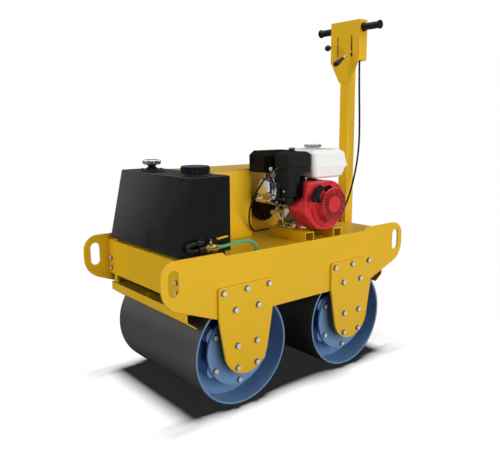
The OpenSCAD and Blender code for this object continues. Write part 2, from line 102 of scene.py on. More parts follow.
class Form:
    """A mesh that grows piece by piece, in millimetres, in a finish and a second one that some faces take."""

    def __init__(self):
        self.bm = bmesh.new()
        self.under = 0

    def faces(self, verts, faces):
        """Adds vertices and faces that look outward and returns the new faces."""
        made = [self.bm.verts.new(Vector(v)) for v in verts]
        new = [self.bm.faces.new([made[i] for i in face]) for face in faces]
        bmesh.ops.recalc_face_normals(self.bm, faces=new)
        return new

    def round_off(self, faces, width, steps=2, sharp=EDGE_ANGLE):
        """Rounds the edges of the given faces that meet at more than the sharp angle."""
        edges = dict.fromkeys(e for f in faces for e in f.edges)
        turned = [e for e in edges if len(e.link_faces) == 2 and e.calc_face_angle(0) > math.radians(sharp)]
        if width > 0 and turned:
            made = bmesh.ops.bevel(self.bm, geom=turned, offset=width, segments=steps, profile=0.5,
                                   affect="EDGES", clamp_overlap=True)
            for f in made["faces"]:
                f.material_index = 0

    def prism(self, outline, lo, hi, axis="y", soft=0.0, steps=2):
        """An outline given in the other two axes, standing between lo and hi along axis."""
        n = len(outline)
        verts = [PLACE[axis](a, b, t) for t in (lo, hi) for a, b in outline]
        made = self.faces(verts, [tuple(range(n - 1, -1, -1)), tuple(range(n, 2 * n))] + walls(n, 1))
        self.round_off(made, soft, steps)

    def loft(self, rings, soft=0.0, steps=2, sharp=EDGE_ANGLE, axis="z"):
        """Skins (place along axis, outline) rings of as many points each, from the lowest to the highest."""
        n = len(rings[0][1])
        verts = [PLACE[axis](a, b, t) for t, outline in rings for a, b in outline]
        made = self.faces(verts, [tuple(range(n)), tuple(range(len(verts) - n, len(verts)))]
                          + walls(n, len(rings) - 1))
        self.round_off(made, soft, steps, sharp)

    def block(self, lo, hi, soft=0.0, steps=2):
        self.prism([(lo[0], lo[1]), (hi[0], lo[1]), (hi[0], hi[1]), (lo[0], hi[1])],
                   lo[2], hi[2], "z", soft, steps)

    def lathe(self, profile, base, axis, sides=48, lobes=0, depth=0.0):
        """Turns (radius, height) pairs about an axis; lobes scallops what stands off the axis."""
        base = Vector(base)
        up, across = square_to(axis)
        other = up.cross(across)
        closed = profile[0] == profile[-1]
        verts, rows = [], []
        for r, h in profile:
            if r < 1e-6:
                rows.append([len(verts)])
                verts.append(base + up * h)
                continue
            rows.append(list(range(len(verts), len(verts) + sides)))
            for k, (c, s) in enumerate(turns(sides)):
                dip = depth * (0.5 - 0.5 * math.cos(lobes * 2 * math.pi * k / sides)) ** 1.5 if lobes else 0
                verts.append(base + up * h + (across * c + other * s) * r * (1 - dip))
        faces = []
        for low, high in zip(rows, rows[1:]):
            for k in range(sides if len(low) + len(high) > 2 else 0):
                n = (k + 1) % sides
                if len(low) == 1:
                    faces.append((low[0], high[n], high[k]))
                elif len(high) == 1:
                    faces.append((low[k], low[n], high[0]))
                else:
                    faces.append((low[k], low[n], high[n], high[k]))
        if not closed:
            faces += [tuple(row) for row in (rows[0][::-1], rows[-1]) if len(row) > 1]
        made = self.faces(verts, faces)
        if closed:
            bmesh.ops.remove_doubles(self.bm, verts=list({v for f in made for v in f.verts}), dist=1e-4)
            made = [f for f in made if f.is_valid]
            bmesh.ops.recalc_face_normals(self.bm, faces=made)
        return made

    def tube(self, path, radius, sides=14):
        """A round tube along points, with flat ends; radius is one number or one for each point."""
        path = [Vector(p) for p in path]
        last = len(path) - 1
        radii = radius if isinstance(radius, (list, tuple)) else [radius] * len(path)
        side = (path[1] - path[0]).normalized().orthogonal().normalized()
        verts = []
        for i, p in enumerate(path):
            way = (path[min(i + 1, last)] - path[max(i - 1, 0)]).normalized()
            side = (side - way * side.dot(way)).normalized()
            other = way.cross(side)
            verts += [p + radii[i] * (side * c + other * s) for c, s in turns(sides)]
        self.faces(verts, walls(sides, last) + [tuple(range(sides - 1, -1, -1)),
                                                tuple(range(last * sides, (last + 1) * sides))])

    def bolt(self, at, axis, across=19.0, height=7.0, washer=12.0, turn=0.0, washer_t=2.0):
        """A hexagon head with a chamfered crown on a flat washer; the under finish, for all but the crown, is in zinc
        forms a darker zinc: painted shade round the head.
        """
        at = Vector(at)
        up, side = square_to(axis)
        if washer:
            for face in self.lathe([(0, 0), (washer, 0), (washer, washer_t - 0.5), (washer - 0.5, washer_t),
                                    (0, washer_t)], at, up, 32):
                face.material_index = self.under
        side = Matrix.Rotation(turn, 3, up) @ side
        other = up.cross(side)
        corner = across / math.sqrt(3)
        rings = ((corner, washer_t), (corner, washer_t + height - 1.6), (corner * 0.86, washer_t + height))
        made = self.faces([at + up * h + (side * c + other * s) * r for r, h in rings for c, s in turns(6)],
                          walls(6, 2) + [tuple(range(12, 18)), tuple(range(5, -1, -1))])
        for face in made[:12]:
            face.material_index = self.under
        self.round_off(made, 0.35, 1)

    def take(self, bm):
        """Moves another mesh's faces into this one."""
        temp = bpy.data.meshes.new("temp")
        bm.to_mesh(temp)
        bm.free()
        self.bm.from_mesh(temp)
        bpy.data.meshes.remove(temp)

    def cad(self, name, edge, steps=2):
        """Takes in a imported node, with its flat faces made whole again and its edges rounded."""
        copy = bmesh.new()
        copy.from_mesh(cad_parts[name].data)
        bmesh.ops.transform(copy, matrix=Matrix.Scale(1 / MM, 4), verts=copy.verts)
        bmesh.ops.remove_doubles(copy, verts=copy.verts, dist=0.01)
        bmesh.ops.dissolve_limit(copy, angle_limit=math.radians(0.5), verts=copy.verts,
                                 edges=copy.edges, use_dissolve_boundaries=False)
        for face in copy.faces:
            face.material_index = 0
        self.take(copy)
        self.round_off(list(self.bm.faces), edge, steps)

    def add(self, other, place):
        """Takes in another form, set in place by a matrix in millimetres."""
        bmesh.ops.transform(other.bm, matrix=place, verts=other.bm.verts)
        self.take(other.bm)

    def make(self, name, body, finishes, replaces=(), slot=None):
        """Closes the form into an object that rides on a body and stands for its nodes."""
        bmesh.ops.transform(self.bm, matrix=Matrix.Scale(MM, 4), verts=self.bm.verts)
        mesh = bpy.data.meshes.new(name)
        self.bm.to_mesh(mesh)
        self.bm.free()
        mesh.shade_smooth()
        mesh.set_sharp_from_angle(angle=math.radians(SMOOTH_ANGLE))
        for material in finishes:
            mesh.materials.append(material)
        obj = bpy.data.objects.new(name, mesh)
        bpy.context.scene.collection.objects.link(obj)
        even = obj.modifiers.new("Even shading", "WEIGHTED_NORMAL")
        even.keep_sharp = True
        even.weight = 80
        if body:
            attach(obj, body)
        if replaces:
            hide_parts(*replaces)
        return obj


class Kit:
    """The forms of one group, one for each finish, closed together into pieces."""

    def __init__(self, name, body, *nodes):
        self.name, self.body, self.nodes, self.forms = name, body, nodes, {}

    def __getitem__(self, key):
        if key not in self.forms:
            self.forms[key] = Form()
            # zinc forms give their washers and head flanks a darker zinc, painted shade
            self.forms[key].under = int(key == "zinc")
        return self.forms[key]

    def close(self):
        """Makes one piece for each finish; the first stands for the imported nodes."""
        return [form.make(self.name + "_" + key, self.body, [finish(key)] + [finish("washer")] * form.under,
                          () if i else self.nodes, FINISH_LIST[key][0])
                for i, (key, form) in enumerate(self.forms.items())]


def arc(cx, cy, r, start, end, steps=10):
    """Points of an arc, angles in degrees."""
    angles = (math.radians(start + (end - start) * i / steps) for i in range(steps + 1))
    return [(cx + r * math.cos(a), cy + r * math.sin(a)) for a in angles]


def around(x, y, z, axis, radius, angles):
    """Points on a circle about an axis, "y" or "z", through a centre; angles in degrees."""
    for a in map(math.radians, angles):
        yield Vector((x, y, z)) + Vector(PLACE[axis](radius * math.cos(a), radius * math.sin(a), 0))


def rounded(w, h, r, steps=5):
    """A rectangle about the middle with round corners."""
    a, b = w / 2 - r, h / 2 - r
    corners = ((a, b, 0), (-a, b, 90), (-a, -b, 180), (a, -b, 270))
    return [point for x, y, start in corners for point in arc(x, y, r, start, start + 90, steps)]


def plan(x, y, r, steps=6):
    """A round-cornered rectangle between two values of x and two of y."""
    return [(a + (x[0] + x[1]) / 2, b + (y[0] + y[1]) / 2)
            for a, b in rounded(x[1] - x[0], y[1] - y[0], r, steps)]


def smooth_path(points, steps=8):
    """A smooth curve through the given points."""
    pts = [Vector(p) for p in points]
    out = []
    for i in range(len(pts) - 1):
        a, b, c, d = pts[max(i - 1, 0)], pts[i], pts[i + 1], pts[min(i + 2, len(pts) - 1)]
        for k in range(steps):
            t = k / steps
            out.append(0.5 * (2 * b + (c - a) * t + (2 * a - 5 * b + 4 * c - d) * t ** 2
                              + (3 * b - a - 3 * c + d) * t ** 3))
    return out + [pts[-1]]


# ---------- shared shader effects ----------

def add_node(tree, kind, inputs=None, **settings):
    """A node with its settings and inputs; an input is a value or another node's output."""
    made = tree.nodes.new(kind)
    for key, value in settings.items():
        setattr(made, key, value)
    for key, value in (inputs or {}).items():
        if isinstance(value, bpy.types.NodeSocket):
            tree.links.new(value, made.inputs[key])
        else:
            made.inputs[key].default_value = value
    return made


def effect(name, inputs, outputs):
    """Starts a shader node group with named sockets and returns it with its two ends."""
    group = bpy.data.node_groups.new(name, "ShaderNodeTree")
    for label, kind, default in inputs:
        socket = group.interface.new_socket(name=label, in_out="INPUT", socket_type="NodeSocket" + kind)
        socket.default_value = default
    for label, kind in outputs:
        group.interface.new_socket(name=label, in_out="OUTPUT", socket_type="NodeSocket" + kind)
    return group, group.nodes.new("NodeGroupInput"), group.nodes.new("NodeGroupOutput")


def tone_drift():
    """Colour that drifts a little lighter and darker over the surface."""
    group, ins, outs = effect(
        "Tone drift", [("Color", "Color", (0.5, 0.5, 0.5, 1)), ("Scale", "Float", 5.0), ("Amount", "Float", 0.05)],
        [("Color", "Color"), ("Drift", "Float")])
    place = add_node(group, "ShaderNodeTexCoord")
    cloud = add_node(group, "ShaderNodeTexNoise", {"Vector": place.outputs["Object"], "Detail": 4.0,
                                                   "Scale": ins.outputs["Scale"]})
    low = add_node(group, "ShaderNodeMath", {0: 1.0, 1: ins.outputs["Amount"]}, operation="SUBTRACT")
    high = add_node(group, "ShaderNodeMath", {0: 1.0, 1: ins.outputs["Amount"]}, operation="ADD")
    gain = add_node(group, "ShaderNodeMapRange", {"Value": cloud.outputs["Fac"], "From Min": 0.3,
                    "From Max": 0.7, "To Min": low.outputs[0], "To Max": high.outputs[0]})
    tinted = add_node(group, "ShaderNodeVectorMath", {0: ins.outputs["Color"], "Scale": gain.outputs["Result"]},
                      operation="SCALE")
    group.links.new(tinted.outputs[0], outs.inputs["Color"])
    group.links.new(cloud.outputs["Fac"], outs.inputs["Drift"])
    return group


def fine_grain():
    """Fine texture: a roughness that varies about its middle, and a height for bump."""
    group, ins, outs = effect(
        "Fine grain", [("Scale", "Float", 300.0), ("Roughness", "Float", 0.4), ("Spread", "Float", 0.05)],
        [("Roughness", "Float"), ("Height", "Float")])
    place = add_node(group, "ShaderNodeTexCoord")
    grain = add_node(group, "ShaderNodeTexNoise", {"Vector": place.outputs["Object"], "Detail": 3.0,
                                                   "Scale": ins.outputs["Scale"]})
    smear = add_node(group, "ShaderNodeTexNoise", {"Vector": place.outputs["Object"], "Scale": 14.0, "Detail": 3.0})
    swing = add_node(group, "ShaderNodeMapRange", {"Value": smear.outputs["Fac"], "From Min": 0.25,
                     "From Max": 0.75, "To Min": -1.0, "To Max": 1.0})
    scaled = add_node(group, "ShaderNodeMath", {0: swing.outputs["Result"], 1: ins.outputs["Spread"],
                                                2: ins.outputs["Roughness"]}, operation="MULTIPLY_ADD")
    group.links.new(scaled.outputs[0], outs.inputs["Roughness"])
    group.links.new(grain.outputs["Fac"], outs.inputs["Height"])
    return group


def settled_dust_and_painted_shade():
    """Pale grit settled on faces that look up and in a low band near the ground; a dark colour there, as on the scraper
    ledges, is painted shade.
    """
    group, ins, outs = effect(
        "Settled dust and painted shade", [("Color", "Color", (0.5, 0.5, 0.5, 1)), ("Dust", "Color", (0.45, 0.41, 0.35, 1)),
                         ("Amount", "Float", 0.1), ("Reach", "Float", 0.25)],
        [("Color", "Color"), ("Mask", "Float")])
    place = add_node(group, "ShaderNodeTexCoord")
    shape = add_node(group, "ShaderNodeNewGeometry")
    split = add_node(group, "ShaderNodeSeparateXYZ", {0: shape.outputs["Normal"]})
    spot = add_node(group, "ShaderNodeSeparateXYZ", {0: place.outputs["Object"]})
    up = add_node(group, "ShaderNodeMapRange", {"Value": split.outputs["Z"], "From Min": 0.3, "From Max": 1.0})
    low = add_node(group, "ShaderNodeMapRange", {"Value": spot.outputs["Z"], "From Min": ins.outputs["Reach"],
                                                 "From Max": 0.0, "To Min": 0.0, "To Max": 1.0})
    both = add_node(group, "ShaderNodeMath", {0: up.outputs["Result"], 1: low.outputs["Result"]}, operation="MAXIMUM")
    cloud = add_node(group, "ShaderNodeTexNoise", {"Vector": place.outputs["Object"], "Scale": 22.0, "Detail": 6.0})
    patch = add_node(group, "ShaderNodeMapRange", {"Value": cloud.outputs["Fac"], "From Min": 0.35, "From Max": 0.75})
    mask = add_node(group, "ShaderNodeMath", {0: both.outputs[0], 1: patch.outputs["Result"]}, operation="MULTIPLY")
    mask = add_node(group, "ShaderNodeMath", {0: mask.outputs[0], 1: ins.outputs["Amount"]}, operation="MULTIPLY")
    mixed = add_node(group, "ShaderNodeMix", {"Factor": mask.outputs[0], 6: ins.outputs["Color"],
                                              7: ins.outputs["Dust"]}, data_type="RGBA")
    group.links.new(mixed.outputs[2], outs.inputs["Color"])
    group.links.new(mask.outputs[0], outs.inputs["Mask"])
    return group


def streaks():
    """Streaks drawn out along one axis, as rolling, brushing or turning leaves them."""
    group, ins, outs = effect(
        "Streaks", [("Stretch", "Vector", (4.0, 90.0, 4.0)), ("Contrast", "Float", 0.5)], [("Streak", "Float")])
    place = add_node(group, "ShaderNodeTexCoord")
    pulled = add_node(group, "ShaderNodeVectorMath", {0: place.outputs["Object"], 1: ins.outputs["Stretch"]},
                      operation="MULTIPLY")
    cloud = add_node(group, "ShaderNodeTexNoise", {"Vector": pulled.outputs[0], "Scale": 1.0, "Detail": 5.0})
    half = add_node(group, "ShaderNodeMath", {0: ins.outputs["Contrast"], 1: 0.5}, operation="MULTIPLY")
    low = add_node(group, "ShaderNodeMath", {0: 0.5, 1: half.outputs[0]}, operation="SUBTRACT")
    high = add_node(group, "ShaderNodeMath", {0: 0.5, 1: half.outputs[0]}, operation="ADD")
    spread = add_node(group, "ShaderNodeMapRange", {"Value": cloud.outputs["Fac"], "From Min": low.outputs[0],
                                                    "From Max": high.outputs[0]})
    group.links.new(spread.outputs["Result"], outs.inputs["Streak"])
    return group


def cast_skin():
    """The pebbled skin of die-cast metal, as a height."""
    group, ins, outs = effect("Cast skin", [("Scale", "Float", 400.0)], [("Height", "Float")])
    place = add_node(group, "ShaderNodeTexCoord")
    cells = add_node(group, "ShaderNodeTexVoronoi", {"Vector": place.outputs["Object"], "Scale": ins.outputs["Scale"]})
    cloud = add_node(group, "ShaderNodeTexNoise", {"Vector": place.outputs["Object"], "Scale": 60.0, "Detail": 4.0})
    total = add_node(group, "ShaderNodeMath", {0: cells.outputs["Distance"], 1: cloud.outputs["Fac"]}, operation="ADD")
    group.links.new(total.outputs[0], outs.inputs["Height"])
    return group


EFFECTS = {}


def use_effect(tree, maker, inputs):
    """Places one of the shared effects in a material."""
    if maker not in EFFECTS:
        EFFECTS[maker] = maker()
    return add_node(tree, "ShaderNodeGroup", inputs, node_tree=EFFECTS[maker])


class Finish:
    """A material under construction: colour, roughness and bump run through shared effects."""

    def __init__(self, name, color, roughness, metallic, specular):
        self.material = bpy.data.materials.new(name)
        self.material.use_nodes = True
        self.tree = self.material.node_tree
        self.shader = self.tree.nodes["Principled BSDF"]
        self.color = (*color[:3], 1.0)
        self.roughness = roughness
        for key, value in (("Base Color", self.color), ("Roughness", roughness), ("Metallic", metallic),
                           ("Specular IOR Level", specular)):
            self.shader.inputs[key].default_value = value

    def feed(self, key, socket):
        self.tree.links.new(socket, self.shader.inputs[key])

    def paint(self, socket):
        self.color = socket
        self.feed("Base Color", socket)

    def drift(self, scale, amount):
        made = use_effect(self.tree, tone_drift, {"Color": self.color, "Scale": scale, "Amount": amount})
        self.paint(made.outputs["Color"])

    # pale, the second colour is settled grit; dark, as for the scraper ledges, it is painted shade
    def dust(self, amount, reach=0.25, dust=(0.45, 0.41, 0.35, 1)):
        made = use_effect(self.tree, settled_dust_and_painted_shade, {"Color": self.color, "Amount": amount, "Reach": reach,
                                                    "Dust": dust})
        self.paint(made.outputs["Color"])

    def grain(self, scale, spread, bump):
        made = use_effect(self.tree, fine_grain, {"Scale": scale, "Roughness": self.roughness, "Spread": spread})
        self.feed("Roughness", made.outputs["Roughness"])
        self.bump(made.outputs["Height"], bump, 0.0004)

    def cast(self, scale, bump):
        self.bump(use_effect(self.tree, cast_skin, {"Scale": scale}).outputs["Height"], bump, 0.0006)

    def bump(self, height, strength, depth):
        relief = add_node(self.tree, "ShaderNodeBump", {"Strength": strength, "Distance": depth, "Height": height})
        self.feed("Normal", relief.outputs["Normal"])

    def streak(self, stretch, contrast, other, share, rough):
        """Lays streaks of another colour over the first and varies the gloss with them."""
        made = use_effect(self.tree, streaks, {"Stretch": stretch, "Contrast": contrast})
        part = add_node(self.tree, "ShaderNodeMath", {0: made.outputs["Streak"], 1: share}, operation="MULTIPLY")
        mixed = add_node(self.tree, "ShaderNodeMix", {"Factor": part.outputs[0], 6: self.color, 7: (*other, 1.0)},
                         data_type="RGBA")
        gloss = add_node(self.tree, "ShaderNodeMapRange", {"Value": made.outputs["Streak"], "To Min": rough[0],
                                                           "To Max": rough[1]})
        self.feed("Roughness", gloss.outputs["Result"])
        self.paint(mixed.outputs[2])


# For each finish: the record's slot, the material's name, its colour or the name of one that a user may change,
# roughness, metallic and specular, then the effects laid on it in order.
FINISH_LIST = {
    "yellow": ("yellow_paint", "Yellow powder coat", "yellow", 0.34, 0.0, 0.5,
               ("drift", 3.0, 0.02), ("dust", 0.05), ("grain", 700.0, 0.04, 0.10)),
    # the scraper bars' yellow, with painted shade in dark brown on faces that look up
    "grimy": ("yellow_paint", "Yellow powder coat, grimy ledges", "yellow", 0.34, 0.0, 0.5, ("drift", 3.0, 0.02),
              ("dust", 20.0, 0.05, (0.25, 0.145, 0.012, 1)), ("grain", 700.0, 0.04, 0.10)),
    # a tan copy of the yellow paint: painted light, for how the lit inside of a slot looks
    "guide": ("yellow_paint", "Tan lever guide", (0.52, 0.29, 0.07), 0.5, 0.0, 0.5,
              ("drift", 20.0, 0.06), ("grain", 500.0, 0.05, 0.10)),
    "black_sheet": ("tank_paint", "Black tank paint", "black_sheet", 0.15, 0.0, 0.25,
                    ("drift", 4.0, 0.10), ("dust", 0.03), ("grain", 900.0, 0.05, 0.08)),
    "cap": ("cap_plastic", "Black cap plastic", (0.009, 0.009, 0.009), 0.26, 0.0, 0.4,
            ("drift", 12.0, 0.10), ("grain", 1100.0, 0.06, 0.12)),
    "chrome": ("cap_chrome", "Chrome", (0.86, 0.86, 0.87), 0.08, 1.0, 0.5,
               ("drift", 8.0, 0.02), ("grain", 300.0, 0.03, 0.04)),
    "rubber": ("hose_rubber", "Black rubber", (0.006, 0.006, 0.006), 0.24, 0.0, 0.5,
               ("drift", 20.0, 0.12), ("grain", 900.0, 0.06, 0.25)),
    "grip": ("grip_rubber", "Grip rubber", (0.008, 0.008, 0.008), 0.34, 0.0, 0.35,
             ("drift", 20.0, 0.12), ("grain", 900.0, 0.06, 0.25)),
    "green": ("hose_green", "Green hose", "green", 0.45, 0.0, 0.4, ("drift", 30.0, 0.06), ("grain", 800.0, 0.05, 0.10)),
    "brass": ("brass_valve", "Brass", "brass", 0.25, 1.0, 0.5, ("drift", 40.0, 0.12), ("grain", 400.0, 0.08, 0.12)),
    "copper": ("brass_valve", "Copper ferrule", (0.80, 0.42, 0.22), 0.3, 1.0, 0.5,
               ("drift", 40.0, 0.1), ("grain", 400.0, 0.08, 0.1)),
    "brown": ("dark_cover", "Dark brown cover", (0.012, 0.006, 0.003), 0.45, 0.0, 0.3,
              ("drift", 10.0, 0.15), ("grain", 500.0, 0.06, 0.15)),
    "alloy": ("engine_alloy", "Cast alloy", "alloy", 0.24, 1.0, 0.5, ("drift", 18.0, 0.10), ("cast", 420.0, 0.10)),
    "bright": ("engine_alloy", "Polished alloy", (0.66, 0.66, 0.66), 0.24, 1.0, 0.5,
               ("drift", 18.0, 0.06), ("grain", 300.0, 0.04, 0.06)),
    # the engine alloy darkened for the cylinder fins: painted shade among them
    "fins": ("engine_alloy", "Rough alloy", (0.10, 0.10, 0.10), 0.45, 0.7, 0.5,
             ("drift", 18.0, 0.10), ("cast", 420.0, 0.20)),
    "fan": ("engine_alloy", "Fan moulding", (0.30, 0.30, 0.31), 0.4, 0.0, 0.5,
            ("drift", 18.0, 0.10), ("grain", 500.0, 0.06, 0.10)),
    "red": ("engine_red", "Red engine paint", "red", 0.30, 0.0, 0.5,
            ("drift", 5.0, 0.03), ("grain", 600.0, 0.04, 0.08)),
    "orange": ("engine_red", "Red plug", (0.60, 0.03, 0.02), 0.35, 0.0, 0.4,
               ("drift", 20.0, 0.05), ("grain", 700.0, 0.05, 0.08)),
    "white": ("tank_white", "White tank paint", "white", 0.30, 0.0, 0.4,
              ("drift", 5.0, 0.02), ("grain", 600.0, 0.04, 0.05)),
    "black": ("engine_black", "Black engine cover", "black_plastic", 0.42, 0.0, 0.004,
              ("drift", 12.0, 0.10), ("grain", 1100.0, 0.06, 0.12)),
    # dead black for painted shade in recesses, gaps and slots
    "soot": ("engine_black", "Soot", (0.003, 0.003, 0.003), 0.9, 0.0, 0.1, ("drift", 12.0, 0.2)),
    "muffler": ("engine_black", "Heat proof black", (0.012, 0.010, 0.007), 0.36, 0.0, 0.004,
                ("drift", 12.0, 0.10), ("grain", 700.0, 0.05, 0.10)),
    "zinc": ("zinc_steel", "Zinc plate", "zinc", 0.30, 0.35, 0.5, ("drift", 40.0, 0.08), ("grain", 500.0, 0.06, 0.10)),
    # a darker zinc for washers and head flanks: painted shade round each bolt
    "washer": ("zinc_steel", "Dull zinc", (0.15, 0.155, 0.165), 0.35, 0.5, 0.5,
               ("drift", 40.0, 0.08), ("grain", 500.0, 0.06, 0.10)),
    "galvanised": ("galvanised", "Galvanised pipe", (0.45, 0.46, 0.47), 0.4, 0.9, 0.5,
                   ("drift", 60.0, 0.18), ("grain", 300.0, 0.08, 0.12)),
    "drum": ("drum_steel", "Rolled drum steel", "drum", 0.42, 0.8, 0.3,
             ("streak", (7.0, 70.0, 7.0), 0.7, (0.20, 0.196, 0.192), 0.30, (0.40, 0.50)), ("dust", 0.04, 0.10)),
    "blue": ("hub_blue", "Blue hub paint", "blue", 0.34, 0.0, 0.35, ("drift", 6.0, 0.04), ("grain", 600.0, 0.05, 0.08)),
}
FINISHES = {}


def finish(key):
    """One of the roller's finishes, made the first time it is asked for."""
    if key not in FINISHES:
        _, name, color, roughness, metallic, specular, *effects = FINISH_LIST[key]
        if isinstance(color, str):
            color = getattr(bpy.context.scene.roller_colours, color)
        made = Finish(name, color, roughness, metallic, specular)
        for kind, *values in effects:
            getattr(made, kind)(*values)
        FINISHES[key] = made.material
    return FINISHES[key]


# ---------- what a user may change ----------

class RollerColours(bpy.types.PropertyGroup):
    """Base colours of the finishes, in linear light"""
    yellow: FloatVectorProperty(name="Yellow paint", description="Chassis, housing and handle", subtype="COLOR",
                                default=(0.69, 0.405, 0.008), min=0, max=1)
    black_sheet: FloatVectorProperty(name="Tank black", description="Water tank paint", subtype="COLOR",
                                     default=(0.010, 0.010, 0.010), min=0, max=1)
    black_plastic: FloatVectorProperty(name="Moulding black", description="Engine covers and starter handle",
                                       subtype="COLOR", default=(0.018, 0.018, 0.018), min=0, max=1)
    red: FloatVectorProperty(name="Engine red", description="Fan shroud and recoil cover", subtype="COLOR",
                             default=(0.56, 0.025, 0.030), min=0, max=1)
    white: FloatVectorProperty(name="Tank white", description="Fuel tank", subtype="COLOR",
                               default=(0.80, 0.79, 0.77), min=0, max=1)
    blue: FloatVectorProperty(name="Hub blue", description="Inside and hubs of the drums", subtype="COLOR",
                              default=(0.145, 0.262, 0.455), min=0, max=1)
    drum: FloatVectorProperty(name="Drum steel", description="Rolling surface of the drums", subtype="COLOR",
                              default=(0.155, 0.152, 0.149), min=0, max=1)
    zinc: FloatVectorProperty(name="Zinc", description="Bolts and small steel parts", subtype="COLOR",
                              default=(0.72, 0.72, 0.72), min=0, max=1)
    brass: FloatVectorProperty(name="Brass", description="Ball valve", subtype="COLOR",
                               default=(0.68, 0.50, 0.14), min=0, max=1)
    green: FloatVectorProperty(name="Hose green", description="Water hose", subtype="COLOR",
                               default=(0.075, 0.30, 0.13), min=0, max=1)
    alloy: FloatVectorProperty(name="Alloy", description="Engine castings", subtype="COLOR",
                               default=(0.60, 0.60, 0.60), min=0, max=1)


class RollerSizes(bpy.types.PropertyGroup):
    """Edge and fastener sizes"""
    plate_edge: FloatProperty(name="Plate edge", description="Rounding of the cut plates' edges",
                              default=0.0014, min=0.0002, max=0.004, unit="LENGTH")
    tank_edge: FloatProperty(name="Tank edge", description="Fold radius of the water tank",
                             default=0.004, min=0.001, max=0.010, unit="LENGTH")
    bolt_across: FloatProperty(name="Bolt", description="Hexagon heads across their flats",
                               default=0.019, min=0.010, max=0.024, unit="LENGTH")


class RollerStudio(bpy.types.PropertyGroup):
    """Camera and light"""
    yaw: FloatProperty(name="Yaw", description="Camera round from the tank end towards the starter side",
                       default=math.radians(51.13), subtype="ANGLE")
    pitch: FloatProperty(name="Pitch", description="Camera above level", default=math.radians(10.15),
                         subtype="ANGLE")
    roll: FloatProperty(name="Roll", description="Camera roll", default=math.radians(-0.37), subtype="ANGLE")
    distance: FloatProperty(name="Distance", description="Camera to its aim", default=2.464, unit="LENGTH")
    lens: FloatProperty(name="Lens", description="Focal length on a 36 mm sensor", default=41.47, unit="CAMERA")
    overhead: FloatProperty(name="Overhead", description="Light from straight above", default=0.14)
    near_side: FloatProperty(name="Near side", description="Soft light from the starter side", default=0.94)
    tank_end: FloatProperty(name="Tank end", description="Soft light from the tank end", default=0.73)
    behind: FloatProperty(name="Behind", description="Soft light from the far side and the handle end",
                          default=0.55)
    dome: FloatProperty(name="Dome", description="Light from all round", default=0.02)
    horizon: FloatProperty(name="Horizon", description="Brightness of the horizon in reflections", default=0.085,
                           min=0, max=1)


GROUPS = {"roller_colours": RollerColours, "roller_sizes": RollerSizes, "roller_studio": RollerStudio}


# ---------- chassis ----------

def dress(name, node, key, edge, steps=2, body="chassis"):
    """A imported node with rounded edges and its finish."""
    kit = Kit(name, body, node)
    kit[key].cad(node, edge, steps)
    kit.close()


class ROLLER_OT_chassis(bpy.types.Operator):
    """Side plates, cross plates, deck and their bolts and welds"""
    bl_idname = "roller.chassis"
    bl_label = "Chassis plates"

    def execute(self, context):
        edge = context.scene.roller_sizes.plate_edge / MM
        for node in ("side_plate_left", "side_plate_right", "end_plate_front", "end_plate_rear", "deck"):
            dress(node + "_panel", node, "yellow", edge)
        kit = Kit("frame_bolts", "chassis")
        for s in (1, -1):
            for y in (-272, 230):
                for z in (500, 460):
                    kit["zinc"].bolt((s * END_X, y, z), X * s, 15, 6, 10, washer_t=1.5)
        kit.close()
        kit = Kit("frame_welds", "chassis")
        for s in (1, -1):
            for e in (1, -1):
                x, y, z = e * (END_X - 8), s * (SIDE_Y - 9), DECK_Z + 1
                weld(kit["yellow"], (x, y, 440), (x, y, 568), 3)
                weld(kit["yellow"], (e * 100, y, z), (e * 510, y, z), 2.5)
        kit.close()
        return {"FINISHED"}


def weld(form, start, end, size):
    """A rippled weld bead between two points."""
    start, end = Vector(start), Vector(end)
    n = max(4, int((end - start).length / 6))
    path = [start.lerp(end, i / n) for i in range(n + 1)]
    form.tube(path, [size * (0.86 + 0.14 * (i % 2)) for i in range(n + 1)], 8)


def hanger_outline(x):
    """A round foot and straight flanks up to square shoulders."""
    foot, flank, rise = 101, 126, 131
    lean = math.degrees(math.asin(foot / math.hypot(flank, rise)) - math.atan2(rise, flank))
    right = arc(0, 230, foot, -90, lean, 24) + [(flank, 361)] + arc(flank - 14, 460, 14, 0, 90, 6)
    return [(x + a, b) for a, b in right + [(-a, b) for a, b in reversed(right[1:])]]


HANGER_BOLTS = ((-105, 454), (0, 454), (105, 454), (-53, 383), (53, 383),
                (-45, 246), (45, 246), (-45, 161), (45, 161))


class ROLLER_OT_hangers(bpy.types.Operator):
    """The four plates that carry the drums, with bolts and bearing housings"""
    bl_idname = "roller.hangers"
    bl_label = "Hangers"

    def execute(self, context):
        sizes = context.scene.roller_sizes
        rng = random.Random(4)
        for end, x in (("front", WHEEL_X), ("rear", -WHEEL_X)):
            for hand, s in (("left", 1), ("right", -1)):
                node = "hanger_" + end + "_" + hand
                kit = Kit(node, "chassis", node)
                plate = kit["yellow"]
                plate.prism(hanger_outline(x), s * SIDE_Y, s * (SIDE_Y + 10), "y", sizes.plate_edge / MM, 2)
                pad = [(x + a, 204 + b) for a, b in rounded(124, 120, 12)]
                plate.prism(pad, s * (SIDE_Y - 10), s * SIDE_Y, "y", 1.2)
                plate.lathe([(22.7, 281), (46, 281), (48, 283), (48, SIDE_Y), (22.7, SIDE_Y), (22.7, 281)],
                            (x, 0, AXLE_Z), Y * s, 56)
                for a, b in HANGER_BOLTS:
                    kit["zinc"].bolt((x + a, s * (SIDE_Y + 10), b), Y * s, sizes.bolt_across / MM, 7, 12,
                                     turn=rng.uniform(0, 1))
                kit.close()
        return {"FINISHED"}


